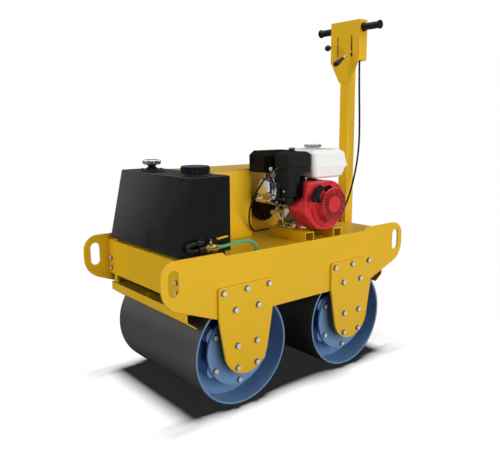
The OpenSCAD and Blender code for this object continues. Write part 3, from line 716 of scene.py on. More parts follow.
class ROLLER_OT_scrapers(bpy.types.Operator):
    """Scraper bars with their posts and bolts, and the spray pipes over the drums"""
    bl_idname = "roller.scrapers"
    bl_label = "Scrapers and spray pipes"

    def execute(self, context):
        for end, s in (("front", 1), ("rear", -1)):
            # the bars in yellow, with painted shade on their top faces
            dress("scraper_" + end + "_bar", "scraper_" + end, "grimy", 0.9)
            kit = Kit("scraper_bolts_" + end, "chassis")
            for y in (-258, 258):
                kit["zinc"].bolt((s * (END_X - 13), y, 397), Z, 13, 5, 9, washer_t=1.5)
            kit.close()
        kit = Kit("spray_pipework", "chassis", "spray_pipes")
        pipe = kit["galvanised"]
        top = DECK_Z - 6 - 25
        for x in (-WHEEL_X, WHEEL_X):
            pipe.lathe([(0, -250), (12.5, -250), (12.5, -232), (11, -232), (11, 272)], (x, 0, top), Y, 28)
            pipe.lathe([(14, 258), (14, 286), (0, 286)], (x, 0, top), Y, 28)
            for y in (-200, 150):
                pipe.block((x - 8, y - 1.5, top + 8), (x + 8, y + 1.5, DECK_Z - 6), 0.5)
                pipe.lathe([(11.2, y - 10), (13, y - 10), (13, y + 10), (11.2, y + 10), (11.2, y - 10)],
                           (x, 0, top), Y, 28)
            for k in range(9):
                at = (x, -216 + 54 * k, top - 10)
                kit["brass"].lathe([(0, 0), (5, 0), (5, 5), (3, 6), (2.4, 9), (0, 9)], at, -Z, 6)
        pipe.tube([(-WHEEL_X, 272, top), (WHEEL_X, 272, top)], 11, 28)
        pipe.lathe([(14, -14), (14, 14)], (204, 272, top), X, 28)
        pipe.lathe([(6.8, 0), (6.8, 25), (5, 25), (5, 10)], (204, 272, top), Z, 24)
        kit.close()
        return {"FINISHED"}


# ---------- water tank and its fittings ----------

class ROLLER_OT_tank(bpy.types.Operator):
    """Folded water tank with its feet, filler cap and breather"""
    bl_idname = "roller.tank"
    bl_label = "Water tank"

    def execute(self, context):
        kit = Kit("water_tank_body", "chassis", "water_tank")
        shell = kit["black_sheet"]
        shell.prism([(314, 589), (536, 589), (474, TANK_TOP), (314, TANK_TOP)], -TANK_HALF, TANK_HALF, "y",
                    context.scene.roller_sizes.tank_edge / MM, 3)
        for x in (340, 500):
            for y in (-238, 238):
                shell.lathe([(0, 0), (12, 0), (12, 12), (14, 15), (0, 15)], (x, y, DECK_Z), Z, 24)
        kit.close()
        self.filler()
        self.breather()
        return {"FINISHED"}

    def filler(self):
        kit = Kit("filler", "chassis", "filler_cap")
        cap, at = kit["cap"], Vector((410, 182, TANK_TOP))
        cap.lathe([(0, 0), (57, 0), (57, 2.5), (55.5, 4), (47, 4), (47, 8), (0, 8)], at, Z, 64)
        for spot in around(*at, "z", 52, range(24, 360, 60)):
            cap.bolt(spot + Z * 4, Z, 7, 2.4, 0)
        cap.lathe([(0, 8), (47.5, 8), (48.5, 9), (48.5, 28), (47, 29.5), (0, 29.5)], at, Z, 96)
        cap.lathe([(0, 29.5), (50, 29.5), (51, 30.5), (50.5, 33), (47, 34.6), (43, 34.2), (41, 33.6),
                   (28, 35), (0, 36)], at, Z, 96)
        rib = [(49, -4.2), (51.5, -3.2), (52.5, -1.4), (52.5, 1.4), (51.5, 3.2), (49, 4.2), (46, 3), (46, -3)]
        for c, s in turns(24):
            outline = [(at.x + c * r - s * t, at.y + s * r + c * t) for r, t in rib]
            cap.loft([(at.z + 10, outline), (at.z + 28.5, outline)], 0)
        kit.close()

    def breather(self):
        kit = Kit("breather", "chassis", "breather_cap")
        cap, at = kit["cap"], Vector((415, -116, TANK_TOP))
        cap.lathe([(0, 0), (50, 0), (50, 3), (48.5, 4.5), (40, 4.5), (34, 5), (27, 6), (27, 9), (24, 11),
                   (20, 13), (17, 15), (14, 16), (14, 30), (0, 30)], at, Z, 56)
        for h in (17.5, 21.5):
            cap.lathe([(13, h), (17.5, h), (17.5, h + 2.2), (13, h + 2.2), (13, h)], at, Z, 40, 10, 0.12)
        for spot in around(*at, "z", 43, range(0, 360, 60)):
            cap.bolt(spot + Z * 4.5, Z, 8, 3.5, 0)
        kit["chrome"].lathe([(0, 24), (22, 24), (32, 25.5), (36, 29), (37.2, 35), (36, 40.5), (31, 44), (27, 43.4),
                             (10, 43.2), (0, 45)], at, Z, 96, 8, 0.17)
        kit.close()


# the valve's line, its stem, and the routes of the two hoses
VALVE_Y, VALVE_Z, STEM_X = 279, 614, 417
OUTLET = ((442, 260, 638), (442, 264, 638), (442, 268, 638), (450, 277, 638), (472, 279, 638), (498, 279, 637),
          (511, 279, 631), (511, 279, 620), (498, 279, 614), (472, 279, 614), (440, 279, 614))
HOSE = ((388, 279, 614), (356, 279, 615), (322, 279, 618), (288, 278, 620), (258, 277, 620), (234, 275, 614),
        (214, 273, 602), (204, 272, 592), (204, 272, 583), (204, 272, 575))


class ROLLER_OT_plumbing(bpy.types.Operator):
    """Outlet bend, ball valve with its lever, and the green hose down through the deck"""
    bl_idname = "roller.plumbing"
    bl_label = "Valve and hoses"

    def execute(self, context):
        kit = Kit("outlet_bend", "chassis", "tank_outlet")
        bend = kit["rubber"]
        bend.tube(smooth_path(OUTLET)[8:], 7, 20)
        bend.lathe([(0, 0), (17, 0), (17, 6), (14, 8), (0, 8)], OUTLET[0], Y, 6)
        bend.lathe([(0, 0), (11.5, 0), (11.5, 14), (9, 14)], (476, VALVE_Y, OUTLET[0][2]), -X, 24)
        bend.lathe([(9, 0), (11.5, 0), (11.5, 26), (9, 26)], (442, VALVE_Y, VALVE_Z), X, 24)
        for x in (447, 460):
            bend.lathe([(11, 0), (12.6, 0), (12.6, 5), (11, 5), (11, 0)], (x, VALVE_Y, VALVE_Z), X, 24)
        kit.close()
        self.valve()
        self.lever()
        kit = Kit("hose", "chassis", "water_hose")
        kit["green"].tube(smooth_path(HOSE), 6.5, 20)
        kit["copper"].lathe([(6.6, 0), (8.4, 0.4), (8.4, 6.6), (6.6, 7), (6.6, 0)], (380, VALVE_Y, VALVE_Z), X, 28)
        kit["cap"].lathe([(6.6, 0), (10.5, 0), (10.5, 2), (8, 3.5), (6.6, 3.5), (6.6, 0)], HOSE[-1], Z, 28)
        kit.close()
        return {"FINISHED"}

    def valve(self):
        kit = Kit("valve", "chassis", "ball_valve")
        brass = kit["brass"]
        for x in (391, 425):
            brass.lathe([(9, 0), (13, 0), (14, 1), (14, 10), (13, 11), (9, 11), (9, 0)], (x, VALVE_Y, VALVE_Z), X, 6)
        brass.lathe([(9, 0), (10, 0), (10, 4), (11, 7), (14.5, 12), (15, 18), (14.5, 24), (11, 29), (10, 32),
                     (10, 52), (9, 52), (9, 0)], (388, VALVE_Y, VALVE_Z), X, 40)
        # stem with its nuts
        brass.lathe([(9, 0), (9, 14), (0, 14)], (STEM_X, VALVE_Y, 621), Z, 32)
        brass.lathe([(0, 0), (8.5, 0), (9, 0.8), (9, 4.2), (8.5, 5), (0, 5)], (STEM_X, VALVE_Y, 629), Z, 6)
        kit["zinc"].lathe([(0, 0), (3.4, 0), (3.4, 9), (0, 9)], (STEM_X, VALVE_Y, 634), Z, 20)
        brass.lathe([(0, 0), (6.4, 0), (6.8, 0.6), (6.8, 3.4), (6.3, 4), (0, 4)], (STEM_X, VALVE_Y, 643), Z, 6)
        kit.close()

    def lever(self):
        kit = Kit("valve_handle", "chassis", "valve_lever")
        sleeve, blade = kit["yellow"], kit["cap"]
        tilt = math.tan(math.radians(7))
        low = [(8, 0), (-10, 0), (-22, 1.4)] + [(-22 - d, 1.4 + d * tilt) for d in (30, 48)]
        blade.prism([(STEM_X + a, 640.2 + b) for a, b in low] + [(STEM_X + a, 642.4 + b) for a, b in reversed(low)],
                    VALVE_Y - 5.5, VALVE_Y + 5.5, "y", 0.6)
        sleeve.prism([(391, 640.6 + 4 * tilt), (347, 640.2 + 46 * tilt), (343.5, 642.6 + 47 * tilt),
                      (346, 646 + 47 * tilt), (391, 645.6 + 4 * tilt)], VALVE_Y - 6.6, VALVE_Y + 6.6, "y", 1.8, 3)
        kit.close()


# ---------- drive housing and pump cover ----------

class ROLLER_OT_housing(bpy.types.Operator):
    """Drive housing with lid, service door and vents, and the round pump cover on it"""
    bl_idname = "roller.housing"
    bl_label = "Drive housing"

    def execute(self, context):
        kit = Kit("housing_shell", "chassis", "drive_housing")
        box = kit["yellow"]
        box.cad("drive_housing", context.scene.roller_sizes.plate_edge / MM * 2, 3)
        for x in (-180, 90):
            box.block((x - 90, -288, 620), (x + 90, -284, 800), 1.5)
            for k in range(7):
                z = 650 + 20 * k
                box.prism([(-284, z), (-293, z + 3), (-293, z + 5), (-284, z + 12)], x - 60, x + 60, "x", 0.8)
        for k, x in enumerate((-250, -90, 80, 250)):
            for z, turn in ((596, k), (834, k * 2)):
                kit["zinc"].bolt((x, -285, z), -Y, 13, 5, 9, washer_t=1.5, turn=turn)
        kit.close()
        kit = Kit("pump_housing", "chassis", "pump_cover")
        cover = kit["brown"]
        cover.lathe([(48, -60), (48, -26), (62, -26), (65, -24), (66, -21), (66, -12), (64, -8), (58, -7), (52, -8),
                     (42, -8), (40, -4), (39, 0), (0, 0)], (-78, 0, 688), Y, 72)
        for spot in around(-78, -7.5, 688, "y", 57, range(10, 360, 45)):
            cover.bolt(spot, Y, 9, 4, 0)
        kit.close()
        return {"FINISHED"}


# ---------- engine ----------

def lean_frame():
    """The cylinder's own axes: X along it from its seat, Z square to it, Y across."""
    c, s = math.cos(CYLINDER_LEAN), math.sin(CYLINDER_LEAN)
    return Matrix(((c, 0, -s, -66), (0, 1, 0, 115), (s, 0, c, 752), (0, 0, 0, 1)))


class ROLLER_OT_rails(bpy.types.Operator):
    """The two channels under the engine with their foot bolts"""
    bl_idname = "roller.rails"
    bl_label = "Engine rails"

    def execute(self, context):
        dress("rails", "engine_rails", "yellow", 1.0)
        kit = Kit("engine_foot_bolts", "chassis")
        for x in (-55, -217):
            for y in (112, 198):
                kit["zinc"].bolt((x, y, 637), Z, 14, 6, 10)
        kit.close()
        return {"FINISHED"}


KNOB = (27, 149, 855)


class ROLLER_OT_engine_block(bpy.types.Operator):
    """Crankcase, leaning cylinder with its fins and valve cover, and the output guard"""
    bl_idname = "roller.engine_block"
    bl_label = "Engine block"

    def execute(self, context):
        self.crankcase()
        self.cylinder()
        kit = Kit("guard", "chassis", "pto_guard")
        kit["yellow"].lathe([(40, 45), (46, 45), (46, 70), (44, 74), (46, 78), (40, 78), (40, 45)],
                            (CRANK[0], 0, CRANK[1]), Y, 64)
        kit.close()
        return {"FINISHED"}

    def crankcase(self):
        kit = Kit("engine_crankcase", "chassis", "crankcase")
        case = kit["alloy"]
        case.block((-234, 100, 615), (-42, 210, 626), 2)
        case.block((-228, 104, 626), (-50, 206, 637), 3)
        low, high = (lean_frame() @ Vector((0, 0, h)) for h in (-48, 52))
        case.prism([(-86, 635), (low.x, low.z), (high.x, high.z), (high.x, 805), (-240, 805), (-240, 739),
                    (-222, 635)], 92, 214, "y", 6, 3)
        case.lathe([(0, 78), (54, 78), (58, 80), (60, 84), (60, 93)], (CRANK[0], 0, CRANK[1]), Y, 64)
        for spot in around(CRANK[0], 92, CRANK[1], "y", 72, range(22, 360, 45)):
            kit["zinc"].bolt(spot, -Y, 10, 5, 7)
        for x in range(-225, -65, 32):
            case.prism([(x, 640), (x + 4, 640), (x + 4, 700), (x, 716)], 88, 93, "y", 1)
        # black blocks of painted shade on the crankcase, under the cylinder
        kit["soot"].block((-112, 110, 800), (-30, 206, 829), 2)
        kit["soot"].block((-236, 110, 800), (-216, 150, 820), 2)
        # oil filler with its red plug, a black ring of painted shade between its base and the plug, and pointed drain
        for key, profile, z, sides, lobes in (
                ("zinc", [(0, 8), (7.4, 8), (7.4, 22), (6.6, 24), (0, 24)], 631, 28, 0),
                ("soot", [(0, 24), (6.6, 24), (6.6, 32), (0, 32)], 631, 28, 0),
                ("orange", [(0, 32), (6.8, 32), (7, 33), (7, 50), (6, 52), (0, 52)], 631, 36, 12),
                ("zinc", [(0, 52), (4.6, 52), (4.4, 62), (2.4, 76), (1.6, 80), (0, 80)], 631.5, 20, 0)):
            kit[key].lathe(profile, (-44, 202, z), Y, sides, lobes, 0.08)
        kit["zinc"].bolt((-42, 165, 626), X, 12, 7, 8)
        # governor linkage: rod, nuts, lever and the plate on its end
        steel = kit["zinc"]
        steel.prism([(192, 697), (193, 677), (198, 667), (218, 692), (216, 705), (200, 706)], -9, -6, "x", 1)
        steel.tube([(-42, 80, 672), (-38, 100, 678), (-36, 132, 686), (-24, 168, 692), (-9, 198, 694)], 3.6, 14)
        for y, z, r in ((84, 673, 10), (96, 675, 8), (113, 680, 8), (134, 686, 10)):
            steel.lathe([(0, 0), (r, 0), (r, 8), (r * 0.7, 10), (0, 10)], (-44, y, z), X, 6)
        steel.tube([(-40, 149, 680), (-38, 149, 655), (-42, 150, 640)], 3.2, 12)
        steel.tube([(-40, 112, 676), (-40, 118, 656), (-44, 128, 642)], 2.4, 10)
        kit.close()

    def cylinder(self):
        kit = Kit("cylinder", "chassis", "cylinder_head")
        local = Form()
        local.block((0, -42, -42), (24, 42, 42), 3)
        local.block((20, -30, -38), (84, 46, 34), 4)
        # fins in the darkened alloy, painted shade
        for k in range(9):
            near = 21 + 6.6 * k
            local.prism([(a + 8, b - 3) for a, b in rounded(100, 96, 14, 4)], near, near + 2.4, "x", 0.7, 1)
        kit["fins"].add(local, lean_frame())
        kit["fins"].lathe([(0, 0), (18, 0), (18, 5), (15, 7), (15, 9), (0, 9)], (20, 156, 784), (0.6, 0.8, 0), 40)
        # rocker cover on its flange
        cover = Form()
        flange = [(-36, -34), (-35, 12), (-22, 32), (20, 32), (42, 18), (60, -10), (68, -34), (62, -52), (-26, -52)]
        lid = [(-27, -30), (-27, 10), (-16, 24), (17, 24), (35, 13), (50, -12), (57, -32), (52, -46), (-14, -46)]
        cover.prism(flange, 84, 91, "x", 2.0, 3)
        cover.prism([(a * 0.97, b * 0.97) for a, b in lid], 90, 120, "x", 8, 5)
        kit["bright"].add(cover, lean_frame())
        bolts = Form()
        for y, n in ((62, -44), (-28, -46)):
            bolts.bolt((91, y, n), X, 8, 4, 5)
        kit["zinc"].add(bolts, lean_frame())
        # lower casting with its bolts
        cast = kit["bright"]
        cast.prism([(-24, 708), (26, 718), (48, 727), (53, 737), (38, 747), (0, 742), (-24, 730)], 78, 166, "y", 5, 3)
        for at in ((50, 112, 736), (34, 160, 733), (8, 166, 728)):
            kit["zinc"].bolt(at, (0.8, 0.6, 0), 8, 4, 5)
        cast.tube([(-22, 153, 734), (-22, 176, 734)], 9, 20)
        # exhaust neck, decompressor hook and the round knob on its column
        cast.tube(smooth_path([(-12, 92, 790), (-10, 84, 812), (-18, 80, 832), (-26, 80, 850)], 6), 12, 24)
        cast.tube(smooth_path([(-4, 150, 832), (-2, 150, 844), (6, 150, 850), (14, 150, 842), (13, 150, 822),
                               (6, 150, 806), (1, 150, 790)], 5), 4.4, 16)
        cast.lathe([(0, 0), (9, 0), (9, 6), (6, 8), (6, 26), (0, 26)], (16, 126, 816), Z, 28)
        kit["zinc"].lathe([(0, 0), (4, 0.4), (7, 3), (7.8, 7.5), (7, 12), (4, 14.6), (0, 15)], KNOB, Z, 28)
        cast.tube([(16, 130, 838), (KNOB[0], KNOB[1], KNOB[2] + 2)], 3.0, 12)
        kit.close()


class ROLLER_OT_carburettor(bpy.types.Operator):
    """Carburettor with bowl, flanges and links"""
    bl_idname = "roller.carburettor"
    bl_label = "Carburettor"

    def execute(self, context):
        kit = Kit("carburettor_body", "chassis", "carburettor")
        body = kit["alloy"]
        body.block((-44, 178, 714), (0, 208, 746), 5, 3)
        body.lathe([(0, 0), (11, 0), (14, 3), (14, 14), (15.5, 15), (15.5, 18), (0, 18)], (-22, 193, 698), Z, 36)
        kit["brass"].bolt((-22, 193, 698), -Z, 10, 5, 0)
        for x in (-44, -4):
            body.prism([(a + 193, b + 730) for a, b in rounded(32, 34, 8)], x, x + 4, "x", 1)
        for y in (182, 204):
            body.bolt((0, y, 742), X, 8, 4, 0)
            body.bolt((0, y, 718), X, 8, 4, 0)
        # a thin black line of painted shade under the carburettor
        kit["soot"].tube([(-10, 180, 724), (-8, 150, 716), (-4, 120, 706), (2, 100, 690)], 1.8, 10)
        kit["black"].prism([(-8, 700), (2, 700), (2, 740), (-2, 744), (-8, 740)], 176, 179, "y", 0.8)
        kit.close()
        return {"FINISHED"}


RECOIL = (-161, 720)


class ROLLER_OT_shroud(bpy.types.Operator):
    """Red fan shroud with the recoil starter and its grip"""
    bl_idname = "roller.shroud"
    bl_label = "Fan shroud and recoil starter"

    def execute(self, context):
        cx, cz = RECOIL
        kit = Kit("shroud", "chassis", "fan_shroud")
        red = kit["red"]
        rings = []
        for y, r, lead in (
                (214, 98, [(-86, 811), (-84, 748), (-48, 736), (-11, 710), (-14, 703), (-59, 641), (-102, 622)]),
                (250, 101, [(-62, 811), (-57, 752), (-36, 730), (-19, 707), (-18, 699), (-60, 645), (-101, 621)]),
                (285, 101, [(-47, 809), (-36, 760), (-35, 742), (-35, 704), (-35, 686), (-67, 654), (-100, 622)])):
            rings.append((y, lead + arc(cx, 713, r, 274, 98, 24)))
        red.loft(rings, 5.0, 4, 20, "y")
        red.prism([(-50, 806), (-43, 777), (-62, 758)] + arc(cx, cz, 97, 24, 66, 8), 282, 289, "y", 2.5, 3)
        red.prism([(-70, 738), (-56, 731), (-52, 722), (-58, 708), (-72, 704)], 282, 290, "y", 2.5, 3)
        kit["alloy"].prism([(-50, 738), (-8, 711), (-11, 702), (-58, 638), (-102, 618), (-110, 626), (-110, 738)],
                           211, 214, "y", 0.6)
        kit.close()
        self.starter((cx, 0, cz))
        self.grip()
        return {"FINISHED"}

    def starter(self, at):
        kit = Kit("starter", "chassis", "recoil_cover")
        red = kit["red"]
        red.lathe([(63.4, 285), (93.5, 285), (93.5, 290), (92.5, 291.4), (90, 291.4), (88.8, 289.6), (86.6, 289.6),
                   (85.4, 291.4), (83.4, 291.4), (82, 290), (73, 291), (69.5, 300), (67.6, 318), (66.8, 322.6),
                   (65.6, 324.4), (64.2, 324.6), (63.4, 323), (63.4, 285)], at, Y, 128)
        red.lathe([(0, 325), (31, 325), (33.4, 324.4), (33.4, 323), (0, 323)], at, Y, 72)
        for k in range(34):
            slab(red, at, 2 * math.pi * k / 34, (32, 64), (323.2, 324.6), (1.1, 2.5))
        # the wheel behind the slots, with a black disc of painted shade behind it
        kit["soot"].lathe([(0, 300), (63.2, 300), (63.2, 301), (0, 301)], at, Y, 64)
        for k in range(26):
            slab(kit["fan"], at, 2 * math.pi * (k + 0.5) / 26, (44, 58), (308, 316), (0.5, 0.7))
        kit["fan"].lathe([(60.6, 301), (62.3, 301), (62.3, 318), (60.6, 318), (60.6, 301)], at, Y, 64)
        # three black slashes of painted shade, drawn where louvres would open in the cone
        for y, r, start, stop in ((295, 72.4, 62, 92), (304, 70.0, 56, 90), (313, 68.6, 52, 84)):
            kit["soot"].tube([(x, y, z) for x, z in arc(at[0], at[2], r, start, stop, 8)], 3.0, 12)
        # short black marks of painted shade for a row of slots low on the cover
        for x, z in ((-113, 657), (-122, 661), (-131, 653), (-139, 646), (-143, 656)):
            kit["soot"].tube([(x + 3, 290.4, z - 1), (x - 4, 290.4, z + 1)], 2.4, 10)
        for spot in around(at[0], 288, at[2], "y", 86, (22, 98, 196, 284)):
            red.lathe([(0, 0), (8, 0), (8, 3.4), (7, 4.4), (0, 4.4)], spot, Y, 32)
            red.bolt(spot + Y * 2.6, Y, 7, 1.6, 0)
        kit.close()

    def grip(self):
        kit = Kit("pull_handle", "chassis", "recoil_grip")
        grip = kit["black"]
        start, stop = Vector((-99, 311, 798)), Vector((-50, 311, 739))
        way, length = (stop - start).normalized(), (stop - start).length
        profile = [(0, 0), (7, 0.6), (11, 3), (12.4, 6)]
        for k in range(13):
            s = 9 + 4.8 * k
            r = 12.6 - 0.018 * s
            profile += [(r, s - 1.3), (r - 1.4, s - 0.5), (r - 1.4, s + 0.5), (r, s + 1.3)]
        profile += [(11.2, length - 6), (9.6, length - 3), (6, length - 0.6), (0, length)]
        grip.lathe(profile, start, way, 28)
        grip.tube([(-86, 288, 758), (-91, 296, 748), (-97, 304, 735), (-98, 306, 732)], [9, 9, 9, 6.5], 24)
        kit.close()


def slab(form, at, angle, reach, rise, half):
    """A radial bar about the Y axis through at, wider at its outer end."""
    out, along = Vector((math.cos(angle), 0, math.sin(angle))), Vector((-math.sin(angle), 0, math.cos(angle)))
    verts = [Vector(at) + Y * y + out * r + along * t for y in rise for r, w in zip(reach, half) for t in (-w, w)]
    form.faces(verts, [(0, 1, 3, 2), (4, 5, 7, 6), (0, 1, 5, 4), (2, 3, 7, 6), (0, 2, 6, 4), (1, 3, 7, 5)])


class ROLLER_OT_fuel(bpy.types.Operator):
    """White fuel tank with its seam, and the scalloped cap"""
    bl_idname = "roller.fuel"
    bl_label = "Fuel tank"

    def execute(self, context):
        kit = Kit("fuel_tank_shell", "chassis", "fuel_tank")
        white = kit["white"]
        white.loft([(819, plan((-282, -130), (82, 242), 14)), (827, plan((-291, -121), (74, 251), 18)),
                    (857, plan((-306, -117), (66, 256), 20)), (866, plan((-315, -116.4), (65, 256), 20))], 2.5, 3, 12)
        white.loft([(868, plan((-317, -116.4), (65, 256), 20)), (874, plan((-316, -116.4), (65, 256), 20)),
                    (921, plan((-301, -117), (67, 255), 20)), (934, plan((-284, -129), (82, 241), 14)),
                    (937, plan((-262, -144), (100, 224), 10))], 2.5, 3, 12)
        white.loft([(864.8, plan((-321, -116.6), (60, 258), 24)), (867, plan((-325, -116.4), (57, 260), 26)),
                    (869.2, plan((-321, -116.6), (60, 258), 24))], 0.6, 2)
        kit.close()
        kit = Kit("fuel_filler", "chassis", "fuel_cap")
        at = (-208, 150, 937)
        kit["chrome"].lathe([(0, 0), (28, 0), (28, 4), (34, 4.5), (36.5, 7), (36.5, 12), (35, 15.5), (30, 17), (27, 16),
                             (12, 16), (10, 17.6), (0, 18)], at, Z, 96, 8, 0.17)
        kit.close()
        return {"FINISHED"}


class ROLLER_OT_air(bpy.types.Operator):
    """Air cleaner with its lid and duct, and the silencer in its guard"""
    bl_idname = "roller.air"
    bl_label = "Air cleaner and silencer"

    def execute(self, context):
        kit = Kit("air_box", "chassis", "air_cleaner")
        box = kit["black"]
        box.loft([(869.4, plan((-116, 8), (145, 236), 10)), (919, plan((-116, 8), (145, 235), 10)),
                  (928, plan((-107, -1), (155, 226), 8)), (930, plan((-100, -8), (162, 219), 6))], 1.5, 2, 20)
        box.loft([(866, plan((-110, 3), (150, 231), 9)), (870, plan((-110, 3), (150, 231), 9))])
        box.loft([(752, plan((-57, 7), (190, 235), 10)), (812, plan((-57, 7), (178, 235), 10)),
                  (814, plan((-57, 7), (150, 235), 10)), (846, plan((-57, 7), (150, 235), 10)),
                  (848, plan((-115, 7), (147, 235), 10)), (867, plan((-115, 7), (147, 235), 10))], 1.5, 2)
        # a black sheet of painted shade on the duct's near face
        kit["soot"].block((-56, 234.4, 755), (-33, 235.5, 804), 0.4)
        box.block((-76, 216, 744), (-58, 234, 799), 2)
        box.block((-72, 234, 752), (-62, 236, 790), 0.8)
        box.lathe([(0, 0), (13, 0), (13, 5), (15.5, 7), (15.5, 25), (13, 30), (0, 30)], (-8, 213, 723), Z, 32)
        box.tube(smooth_path([(-8, 172, 800), (-6, 171, 760), (-5, 171, 724), (-11, 188, 709), (-20, 200, 702)], 6),
                 4.6)
        box.lathe([(0, 0), (8, 0), (8, 6), (5, 8), (0, 8)], THROTTLE[0], X, 20)
        kit["zinc"].bolt((7, 210, 775), X, 7, 2.5, 5)
        box.lathe([(0, 0), (16, 0), (16, 4), (14, 6), (0, 6)], (-52, 188, 929), Z, 36)
        kit["chrome"].lathe([(0, 0), (9, 0), (12, 2), (13.2, 6), (12.4, 10), (8, 13), (0, 14)],
                            (-52, 188, 935), Z, 48, 8, 0.15)
        kit.close()
        kit = Kit("silencer", "chassis", "muffler")
        can = kit["muffler"]
        can.loft([(848, plan((-112, 66), (52, 140), 10, 1)), (916, plan((-112, 66), (52, 140), 10, 1)),
                  (934, plan((-98, 51), (66, 128), 6, 1))], 1.6, 2, 20)
        can.lathe([(12, 0), (15, 0), (15, 3), (12, 3), (12, 0)], (65, 84, 895), X, 40)
        # a black disc of painted shade in the tail pipe's mouth
        kit["soot"].lathe([(0, 0), (12.4, 0), (12.4, 1), (0, 1)], (65.6, 84, 895), X, 40)
        can.block((-40, 60, 846), (2, 104, 852), 2)
        # a black sheet of painted shade along the silencer's near side, in the gap by the air cleaner
        kit["soot"].block((-100, 138, 850), (54, 141, 913), 1)
        kit.close()
        return {"FINISHED"}


THROTTLE = ((7, 190, 868), (24, 190, 866), (48, 180, 852), (74, 160, 818), (90, 130, 765), (92, 98, 704),
            (72, 68, 640), (46, 54, 608), (14, 36, 592), (-20, 20, 588), (-60, 14, 588), (-84, 14, 587), (-96, 14, 575))
CONTROL = ((-580, 76, 1325), (-580, 76, 1300), (-584, 74, 1240), (-592, 71, 1150), (-602, 67, 1050), (-606, 64, 950),
           (-600, 60, 860), (-582, 55, 770), (-556, 50, 690), (-528, 45, 630), (-510, 41, 596), (-508, 40, 575))


class ROLLER_OT_cables(bpy.types.Operator):
    """Throttle cable over the engine and the control cable up to the console"""
    bl_idname = "roller.cables"
    bl_label = "Cables"

    def execute(self, context):
        kit = Kit("engine_cable", "chassis", "throttle_cable")
        kit["rubber"].tube(smooth_path(THROTTLE), 4)
        kit.close()
        kit = Kit("console_cable", None, "control_cable")
        kit["rubber"].tube(smooth_path(CONTROL), 4.5)
        cable, = kit.close()
        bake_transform(cable)
        return {"FINISHED"}


# ---------- handle ----------

class ROLLER_OT_handle(bpy.types.Operator):
    """Column, console and hinge pin"""
    bl_idname = "roller.handle"
    bl_label = "Handle"

    def execute(self, context):
        edge = context.scene.roller_sizes.plate_edge / MM
        dress("column_tube", "handle_column", "yellow", edge * 2.2, 3, "handle")
        dress("console_box", "console", "yellow", 1.0, 2, "handle")
        # plates behind the slots, tan as painted light inside them
        kit = Kit("lever_guides", "handle")
        kit["guide"].block((PIVOT_X + 21, -54, 1335), (PIVOT_X + 24, -30, 1450), 0.4)
        kit["guide"].prism([(PIVOT_X + 21, 1450), (PIVOT_X + 24, 1450), (PIVOT_X + 14, 1335), (PIVOT_X + 11, 1335)],
                           30, 54, "y", 0.4)
        kit.close()
        kit = Kit("console_welds", "handle")
        for s in (1, -1):
            weld(kit["yellow"], (PIVOT_X + 25, s * 24, 1236), (PIVOT_X + 25, s * 24, 1322), 2.2)
        kit.close()
        kit = Kit("hinge_bolt", "chassis", "hinge_pin")
        kit["zinc"].lathe([(0, -42), (13, -42), (13, -35), (8, -35), (8, 35), (13, 35), (13, 42), (0, 42)],
                          (PIVOT_X, 0, 505), Y, 32)
        kit["zinc"].tube([(PIVOT_X, 38.5, 522), (PIVOT_X, 38.5, 488)], 1.6, 10)
        kit["zinc"].tube(smooth_path([(PIVOT_X, 38.5, 522), (PIVOT_X - 4, 38.5, 526), (PIVOT_X, 38.5, 530),
                                      (PIVOT_X + 4, 38.5, 526), (PIVOT_X, 38.5, 522)], 4), 1.4, 8)
        kit.close()
        return {"FINISHED"}


class ROLLER_OT_controls(bpy.types.Operator):
    """Ribbed grips and the two levers in the console"""
    bl_idname = "roller.controls"
    bl_label = "Grips and levers"

    def execute(self, context):
        kit = Kit("grips", "handle", "handlebar")
        rubber, at = kit["grip"], (PIVOT_X, 0, 1472)
        rubber.tube([(PIVOT_X, -88, 1472), (PIVOT_X, 88, 1472)], 14, 32)
        for s in (1, -1):
            profile = [(14, 87.4), (19, 87.4), (20, 88.6), (20, 92), (19, 93.2), (15.6, 93.4)]
            for k in range(19):
                y = 96 + 4.2 * k
                profile += [(15.6, y), (15.3, y + 0.6), (15.3, y + 1.6), (15.6, y + 2.2)]
            profile += [(15.6, 176), (18.6, 176.4), (19.4, 177.6), (19.4, 181), (18, 182.4), (0, 182.4)]
            rubber.lathe(profile, at, Y * s, 40)
        kit.close()
        self.lever("shift", -1, 15, 92, 2.8, [(0, 82), (5, 82), (6, 86), (9, 88.5), (12.4, 92.5), (14, 100),
                                              (12.4, 107.2), (9, 111.6), (4, 113.8), (0, 114)])
        self.lever("throttle", 1, 31, 108, 4, [(0, 98), (6, 98), (7, 99.5), (7.4, 108), (9.4, 124), (12, 140),
                                               (13, 150), (12.4, 156), (9.6, 161.4), (5, 163.6), (0, 164)])
        return {"FINISHED"}

    def lever(self, name, s, pitch, length, radius, knob):
        """A rod that leaves its slot on side s at a pitch in degrees, with a turned knob."""
        kit = Kit(name + "_stick", "handle", name + "_lever")
        turn = Matrix.Translation((PIVOT_X, s * 42, 1397 - s * 13)) @ Matrix.Rotation(math.radians(pitch), 4, "Y")
        head, bar = Form(), Form()
        head.lathe(knob, (0, 0, 0), X, 36)
        bar.lathe([(6.2, -4), (10, -4), (10, 4), (6.2, 4), (6.2, -4)], (0, 0, 0), Y, 28)
        bar.tube([(8, 0, 0), (length, 0, 0)], radius, 20)
        kit["cap"].add(head, turn)
        kit["chrome"].add(bar, turn)
        kit.close()


# ---------- drums ----------

BUFFER_CIRCLE = 128             # radius of the ring of buffers, with a bolt through each
BUFFER_ANGLES = range(30, 360, 60)


